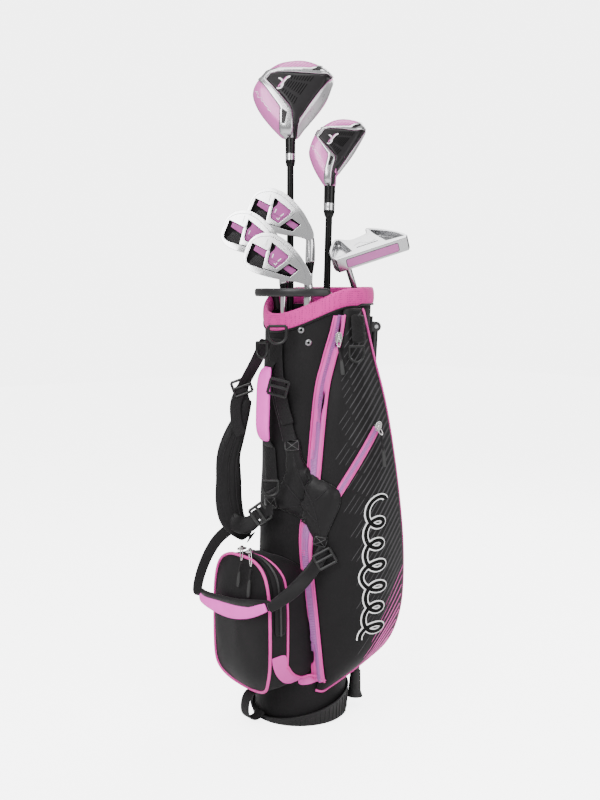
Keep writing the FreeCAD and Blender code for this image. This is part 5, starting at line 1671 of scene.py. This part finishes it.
def studio():
    """The floor, the sky and the lamps."""
    mesh = bpy.data.meshes.new("studio_floor")
    half = FLOOR_SIDE / 2
    corners = [(-half, -half, 0), (half, -half, 0), (half, half, 0), (-half, half, 0)]
    mesh.from_pydata(corners, [], [(0, 1, 2, 3)])
    floor = bpy.data.objects.new("studio_floor", mesh)
    bpy.context.scene.collection.objects.link(floor)
    # The sweep glows for the camera alone, so that it is pale without lighting the bag from below.
    sweep = shader("floor_pale", (0.93, 0.93, 0.93), 0.6)
    bsdf = sweep.node_tree.nodes["Principled BSDF"]
    bsdf.inputs["Emission Color"].default_value = (1, 1, 1, 1)
    seen = node(sweep, "ShaderNodeLightPath")
    glow = node(sweep, "ShaderNodeMath")
    glow.operation = "MULTIPLY"
    glow.inputs[1].default_value = FLOOR_GLOW
    wire_up(sweep, seen, "Is Camera Ray", glow, 0)
    wire_up(sweep, glow, "Value", bsdf, "Emission Strength")
    floor.data.materials.append(sweep)
    floor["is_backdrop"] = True
    world = bpy.data.worlds.new("studio")
    bpy.context.scene.world = world
    world.use_nodes = True
    tree = world.node_tree
    sky = tree.nodes["Background"]
    sky.inputs["Color"].default_value = (1, 1, 1, 1)
    seen = tree.nodes.new("ShaderNodeLightPath")
    # Bright above and to the left, dim below, so that polished metal shows its form.
    way = tree.nodes.new("ShaderNodeTexCoord")
    slant = tree.nodes.new("ShaderNodeVectorMath")
    slant.operation = "DOT_PRODUCT"
    slant.inputs[1].default_value = UP * 0.8 - ACROSS * 0.45 + OUT * 0.25
    tree.links.new(way.outputs["Generated"], slant.inputs[0])
    soft = tree.nodes.new("ShaderNodeMapRange")
    soft.inputs["From Min"].default_value = -0.7
    soft.inputs["From Max"].default_value = 0.8
    soft.inputs["To Min"].default_value = SKY_LIGHT[0]
    soft.inputs["To Max"].default_value = SKY_LIGHT[1]
    tree.links.new(slant.outputs["Value"], soft.inputs["Value"])
    level = tree.nodes.new("ShaderNodeMapRange")
    level.inputs["To Max"].default_value = SKY_SEEN
    tree.links.new(soft.outputs["Result"], level.inputs["To Min"])
    tree.links.new(seen.outputs["Is Camera Ray"], level.inputs["Value"])
    tree.links.new(level.outputs["Result"], sky.inputs["Strength"])
    for name, place, size, power in LAMPS:
        data = bpy.data.lights.new(name + "_light", "AREA")
        data.energy = power
        data.size = size
        lamp = bpy.data.objects.new(name + "_light", data)
        bpy.context.scene.collection.objects.link(lamp)
        lamp.location = place
        lamp.rotation_euler = (at(0, 0, AIM_HEIGHT) - place).to_track_quat("-Z", "Y").to_euler()


EYE_OUT, EYE_HEIGHT, EYE_TIP = 1750, 680, math.radians(5.7)
AIM_HEIGHT = 450


def camera():
    """The camera, at about the height of the bag's mouth and tipped slightly down."""
    data = bpy.data.cameras.new("front_camera")
    data.lens = 50
    data.sensor_width = 36
    cam = bpy.data.objects.new("front_camera", data)
    bpy.context.scene.collection.objects.link(cam)
    cam.location = at(1, EYE_OUT, EYE_HEIGHT)
    aim = -OUT * math.cos(EYE_TIP) - UP * math.sin(EYE_TIP)
    cam.rotation_euler = aim.to_track_quat("-Z", "Y").to_euler()
    bpy.context.scene.camera = cam


studio()
camera()
sizes["finished"] = extent()
